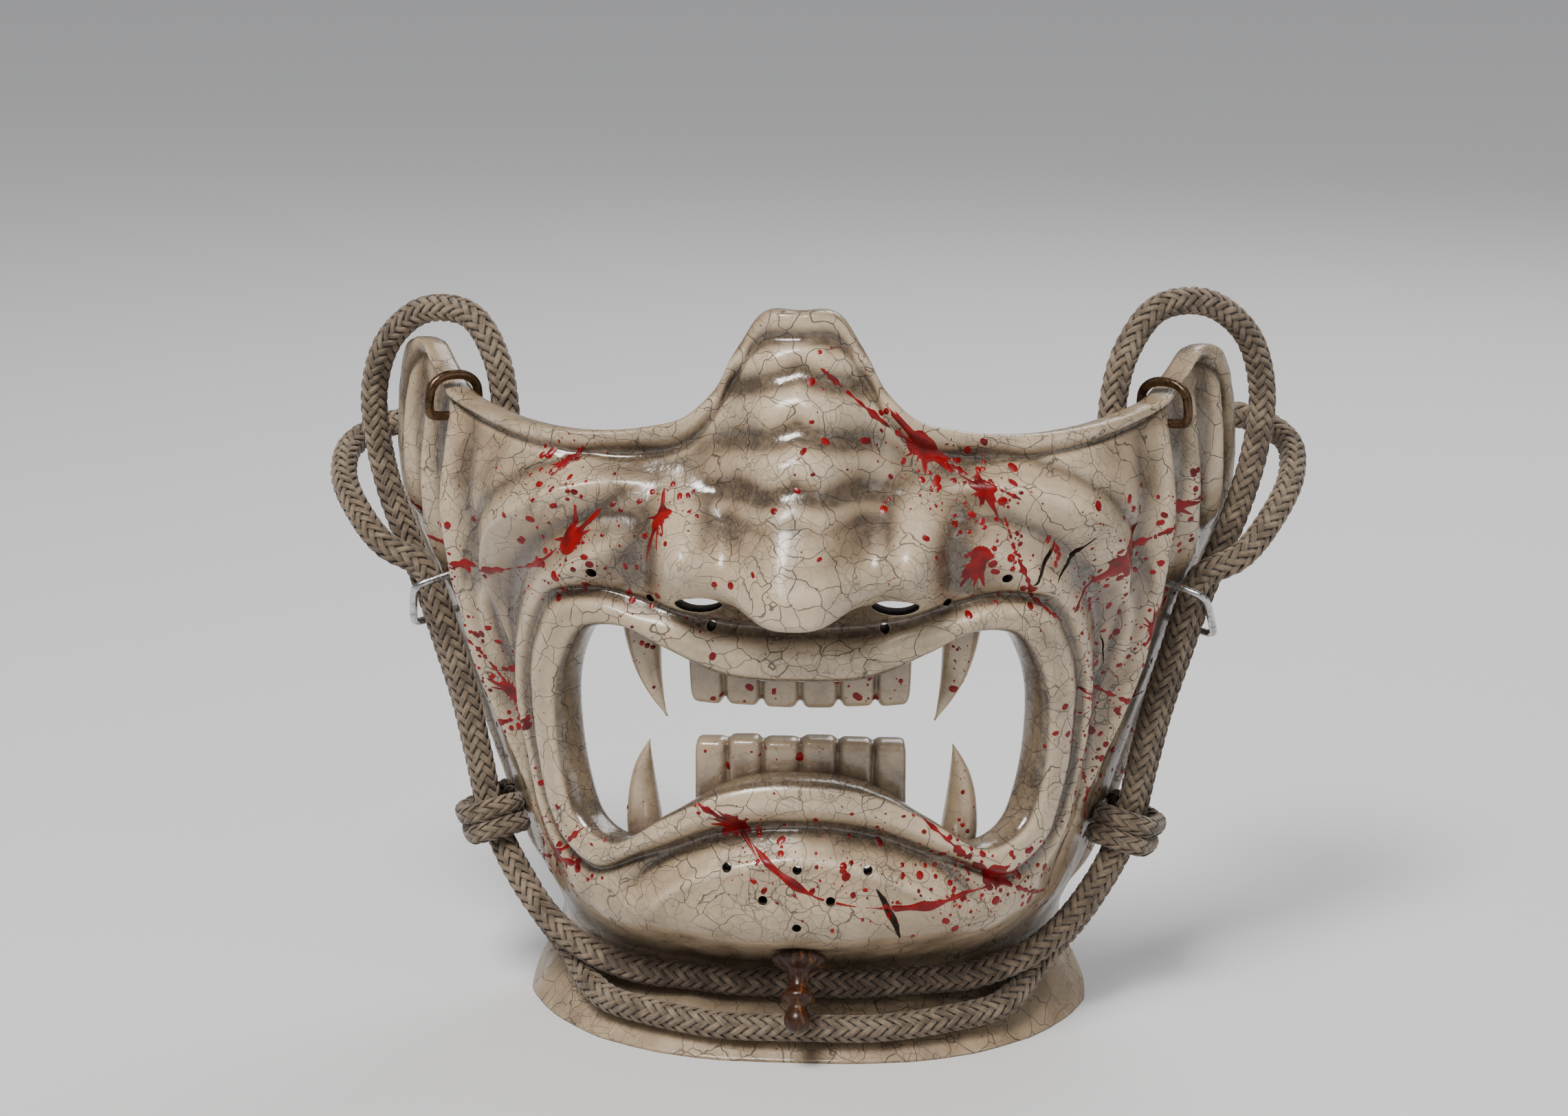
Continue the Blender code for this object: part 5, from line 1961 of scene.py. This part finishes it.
@dataclass
class SplashSet:
    """Thin splashes of red paint on the shell and the teeth: streaks, blots and drops."""

    wall: MaskWall
    grounds: Sequence[Piece]
    film: float = 0.00015
    sink: float = 0.00006
    seed: int = 11
    ray: float = 0.06
    longest_step: float = 0.0035
    blot_sides: int = 96
    blot_arms: int = 11
    blot_drops: int = 24
    streak_points: int = 140
    bead_shares: tuple[float, ...] = (-1.0, -0.5, 0.0, 0.5, 1.0)
    streaks: tuple[Streak, ...] = (
        Streak(((-0.94, 0.69), (-0.82, 0.655), (-0.68, 0.64), (-0.54, 0.646),
                (-0.42, 0.676), (-0.35, 0.72)), 0.0017, 54, 0.0045),
        Streak(((-0.8, 0.42), (-0.68, 0.405), (-0.56, 0.425), (-0.47, 0.455)),
               0.0013, 34, 0.0045),
        Streak(((-0.7, 0.56), (-0.64, 0.52), (-0.6, 0.46)), 0.0011, 24, 0.0045),
        Streak(((0.33, 0.745), (0.345, 0.69), (0.38, 0.64), (0.44, 0.6)), 0.0011, 26, 0.004),
        Streak(((0.86, 0.735), (0.74, 0.715), (0.63, 0.69), (0.53, 0.655), (0.45, 0.61)),
               0.0018, 56, 0.0045),
        Streak(((-0.19, 0.375), (-0.11, 0.335), (-0.03, 0.278), (0.08, 0.24), (0.2, 0.232),
                (0.33, 0.252), (0.44, 0.292)), 0.0017, 64, 0.004),
        Streak(((0.2, 0.35), (0.28, 0.29), (0.38, 0.235), (0.48, 0.205)),
               0.0016, 44, 0.004),
        Streak(((-0.33, 0.34), (-0.43, 0.27), (-0.54, 0.225), (-0.62, 0.205)),
               0.0014, 36, 0.0045),
        Streak(((0.03, 0.925), (0.13, 0.865), (0.26, 0.805), (0.36, 0.76)),
               0.0015, 40, 0.0045),
        Streak(((0.5, 0.52), (0.6, 0.47), (0.7, 0.44), (0.8, 0.43)),
               0.0013, 40, 0.006),
        Streak(((0.56, 0.4), (0.58, 0.33), (0.62, 0.27)), 0.001, 26, 0.005),
    )
    blots: tuple[Blot, ...] = (
        Blot((-0.365, 0.706), 0.0027, 1.7, 1.1), Blot((0.545, 0.672), 0.0036, 1.5, 0.9),
        Blot((0.205, 0.832), 0.0032, 1.8, -0.6), Blot((0.3, 0.776), 0.0026, 1.6, -0.9),
        Blot((0.285, 0.69), 0.0024, 2.0, 1.4), Blot((0.54, 0.48), 0.0034, 1.5, -1.2),
        Blot((0.245, 0.318), 0.0034, 1.8, -0.7), Blot((0.33, 0.262), 0.003, 1.7, -0.5),
        Blot((-0.105, 0.334), 0.0026, 1.8, -0.5), Blot((-0.47, 0.25), 0.003, 1.6, 0.5),
        Blot((-0.6, 0.455), 0.0023, 1.7, -0.7), Blot((-0.7, 0.64), 0.002, 2.2, 0.1),
        Blot((-0.215, 0.742), 0.0017, 2.2, 1.2), Blot((0.66, 0.56), 0.0019, 1.8, -1.3),
        Blot((0.73, 0.712), 0.0021, 2.0, 0.3), Blot((-0.4, 0.8), 0.0014, 1.8, 0.9),
    )
    # drops thrown about a place: round, up, spread round, spread up, how many
    clouds: tuple[tuple[float, float, float, float, int], ...] = (
        (-0.34, 0.68, 0.09, 0.06, 60), (0.52, 0.64, 0.11, 0.09, 100),
        (0.22, 0.77, 0.08, 0.06, 50), (0.56, 0.44, 0.1, 0.11, 110),
        (0.3, 0.26, 0.13, 0.045, 100), (-0.5, 0.27, 0.09, 0.06, 60),
        (-0.6, 0.46, 0.11, 0.08, 60), (0.82, 0.64, 0.09, 0.11, 60),
        (-0.75, 0.64, 0.11, 0.09, 40), (-0.15, 0.64, 0.09, 0.04, 30),
        (-0.42, 0.76, 0.12, 0.05, 30), (0.06, 0.29, 0.12, 0.05, 40),
        (0.7, 0.3, 0.12, 0.08, 40), (0.05, 0.8, 0.08, 0.08, 12),
        (0.28, 0.54, 0.025, 0.06, 26), (-0.28, 0.54, 0.025, 0.06, 20),
        (0.12, 0.505, 0.07, 0.025, 24), (-0.1, 0.505, 0.08, 0.025, 12),
        (0.29, 0.37, 0.025, 0.05, 16), (-0.06, 0.42, 0.1, 0.02, 12),
    )
    tree: BVHTree = field(init=False)
    random: np.random.Generator = field(init=False)
    points: list[Vector] = field(init=False, default_factory=list)
    faces: Faces = field(init=False, default_factory=list)

    def build(self) -> Piece:
        """Throws all the paint and makes one piece of it.

        Returns:
            The paint.
        """
        spots: list[Vector] = []
        walls: list[list[int]] = []
        for piece in self.grounds:
            first = len(spots)
            spots += [vertex.co for vertex in piece.data.vertices]
            walls += [[first + corner for corner in face.vertices] for face in piece.data.polygons]
        self.tree = BVHTree.FromPolygons(spots, walls)
        self.random = np.random.default_rng(self.seed)
        for blot in self.blots:
            self.blot(blot)
        for streak in self.streaks:
            self.streak(streak)
        for around, up, wide, high, count in self.clouds:
            for _ in range(count):
                s = around + self.random.normal() * wide * 0.6
                h = up + self.random.normal() * high * 0.6
                self.drop((s, h), 0.00018 + 0.00085 * self.random.random() ** 4)
        points = np.array([tuple(point) for point in self.points])
        piece = make_piece("paint_splashes", points, self.faces, SplashPaint().build())
        face_out(piece)
        seat(piece, "crackled_lacquer")
        return piece

    def ground(self, places: Array, heights: Array) -> list[Vector | None]:
        """Finds the surface at places of the wall, and goes a height off it.

        Args:
            places: Lengths round the wall and heights, in metres.
            heights: How far off the surface each point goes.

        Returns:
            The points, with nothing where one misses the surface or faces sharply away.
        """
        plain = self.wall.plain(places[:, 0], places[:, 1])
        normal = self.wall.normal(places[:, 0], places[:, 1])
        laid: list[Vector | None] = []
        for start, out, height in zip(plain, normal, heights):
            out = Vector(out)
            far = Vector(start) + self.wall.outside * out
            hit, facing, _, _ = self.tree.ray_cast(far, -out, self.ray)
            missed = hit is None or facing.dot(out) < 0.25
            laid.append(None if missed else hit + facing * float(height))
        return laid

    def patch(self, rings: list[list[Place]], heights: list[float]) -> None:
        """Lays one closed patch of paint: rings of places, from the middle out to the rim.

        Args:
            rings: Places in metres; the first ring holds the middle alone.
            heights: The film's height at each ring.
        """
        start = len(self.points)
        rises = np.concatenate([np.full(len(ring), height) for ring, height in zip(rings, heights)])
        laid = self.ground(np.array([place for ring in rings for place in ring]), rises)
        if None in laid:
            return
        count = len(rings[1])
        for k in range(len(laid) - count, len(laid)):
            if (laid[k] - laid[k - count if len(rings) > 2 else 0]).length > self.longest_step:
                return
        self.points += laid
        for k in range(count):
            after = (k + 1) % count
            self.faces.append((start, start + 1 + k, start + 1 + after))
            for ring in range(1, len(rings) - 1):
                a = start + 1 + (ring - 1) * count
                self.faces.append((a + k, a + count + k, a + count + after, a + after))

    def domed(self, place: Place, reach: Array, turns: Array, film: float, steps: int) -> None:
        """Lays a domed patch of paint.

        Args:
            place: Its middle, in shares of the girth and the height.
            reach: Its reach in each direction.
            turns: The directions.
            film: Its height.
            steps: How many rings it has.
        """
        s, h = place[0] * self.wall.half_girth, place[1] * self.wall.height
        rings: list[list[Place]] = [[(s, h)]]
        heights = [film]
        for step in range(1, steps + 1):
            share = step / steps
            rings.append([(s + share * r * math.cos(a), h + share * r * math.sin(a))
                          for r, a in zip(reach, turns)])
            heights.append(film * math.sqrt(1 - share**2) - self.sink * (share == 1))
        self.patch(rings, heights)

    def drop(self, place: Place, radius: float) -> None:
        """Lays one drop, a little longer one way.

        Args:
            place: Its middle, in shares of the girth and the height.
            radius: Its radius.
        """
        count = 8 if radius < 0.0004 else 12
        turns = 2 * math.pi * np.arange(count) / count
        turn, stretch = self.random.random() * math.pi, 1 + 0.9 * self.random.random() ** 2
        reach = radius * np.sqrt((np.cos(turns - turn) * stretch) ** 2 + np.sin(turns - turn) ** 2)
        self.domed(place, reach, turns, min(self.film, radius * 0.5), 2)

    def blot(self, blot: Blot) -> None:
        """Lays one blot with pointed arms and drops round it.

        Args:
            blot: The blot.
        """
        count = self.blot_sides
        turns = 2 * math.pi * np.arange(count) / count
        along, across = np.cos(turns - blot.turn), np.sin(turns - blot.turn)
        oval = np.sqrt((along * blot.stretch) ** 2 + across**2)
        reach = np.ones(count)
        for order in (2, 3, 5, 7):
            height = 0.13 * self.random.random()
            reach += height * np.cos(order * turns + 6.3 * self.random.random())
        for _ in range(self.blot_arms):
            arm = self.random.random() * 2 * math.pi
            width = 0.045 + 0.065 * self.random.random()
            gap = np.abs((turns - arm + math.pi) % (2 * math.pi) - math.pi)
            along = abs(math.cos(arm - blot.turn)) ** 1.5
            reach += (0.25 + 1.7 * self.random.random() * along) * np.exp(-((gap / width) ** 2))
        self.domed(blot.place, blot.radius * 0.72 * oval * reach, turns, self.film * 1.3, 7)
        for _ in range(self.blot_drops):
            turn = blot.turn + self.random.normal() * 0.7 + math.pi * (self.random.random() < 0.4)
            away = blot.radius * (1.6 + 3.2 * self.random.random())
            place = (blot.place[0] + away * math.cos(turn) / self.wall.half_girth,
                     blot.place[1] + away * math.sin(turn) / self.wall.height)
            self.drop(place, 0.0002 + 0.0006 * self.random.random() ** 2)

    def streak(self, streak: Streak) -> None:
        """Lays one thrown line as a chain of long beads, with drops along it.

        Args:
            streak: The thrown line.
        """
        size, count = np.array([self.wall.half_girth, self.wall.height]), self.streak_points
        path = curve_through(np.array(streak.path) * size, count)
        swell = self.random.random(8) * 6.3
        start = 2
        while start < count - 8:
            end = min(start + int(14 + 34 * self.random.random()), count - 2)
            self.bead(path[start:end], streak.width, swell, start / count)
            start = end + int(1 + 3 * self.random.random() ** 3)
        for _ in range(streak.drops):
            at = path[int(self.random.random() * (count - 1))]
            off = self.random.normal(size=2) * streak.spread
            place = ((at[0] + off[0]) / size[0], (at[1] + off[1]) / size[1])
            self.drop(place, 0.00020 + 0.0009 * self.random.random() ** 3)

    def bead(self, path: Array, width: float, swell: Array, offset: float) -> None:
        """Lays one long bead of a thrown line, with pointed ends.

        Args:
            path: The bead's stretch of the line.
            width: The line's half width.
            swell: Shifts of the two waves of its width.
            offset: Where the bead starts, as a share of the line.
        """
        if len(path) < 6:
            return
        ahead = np.gradient(path, axis=0)
        across = unit(np.stack([-ahead[:, 1], ahead[:, 0]], -1))
        t = np.linspace(0, 1, len(path))
        wave = 0.55 + 0.25 * np.sin(9 * t + swell[0]) + 0.22 * np.sin(23 * (t + offset) + swell[1])
        thin = 1 - 0.55 * abs(2 * offset - 0.8)
        half = width * thin * wave * np.sin(math.pi * np.clip(t, 0.0, 1.0)) ** 0.45
        shares = np.array(self.bead_shares)
        places = path[:, None] + across[:, None] * (half[:, None] * shares)[..., None]
        domed = self.film * np.sqrt(1 - shares**2) - self.sink * (np.abs(shares) == 1)
        heights = np.minimum(1.0, half / 0.0002)[:, None] * domed
        laid = self.ground(places.reshape(-1, 2), heights.ravel())
        wide = len(shares)
        rows = [laid[i:i + wide] for i in range(0, len(laid), wide)]
        run: Rings = []
        for row in rows + [[None]]:
            whole = None not in row
            if whole and (not run or (row[2] - run[-1][2]).length < self.longest_step):
                run.append(row)
                continue
            if len(run) > 3:
                start = len(self.points)
                self.points += [point for kept in run for point in kept]
                self.faces += [(a, a + 1, a + wide + 1, a + wide) for i in range(len(run) - 1)
                               for a in range(start + i * wide, start + (i + 1) * wide - 1)]
            run = [row] if whole else []


def main() -> None:
    """Builds the whole dressed mask."""
    logging.basicConfig(level=logging.INFO, format="%(name)s %(message)s")
    wall = MaskWall()
    Studio().build()
    BraidedCords(wall).build()
    shell = FaceShell(wall).build()
    teeth = ToothSet(wall).build()
    ChinPeg(wall).build()
    WireHooks(wall).build()
    SplashSet(wall, (shell, *teeth)).build()


if __name__ == "__main__":
    main()
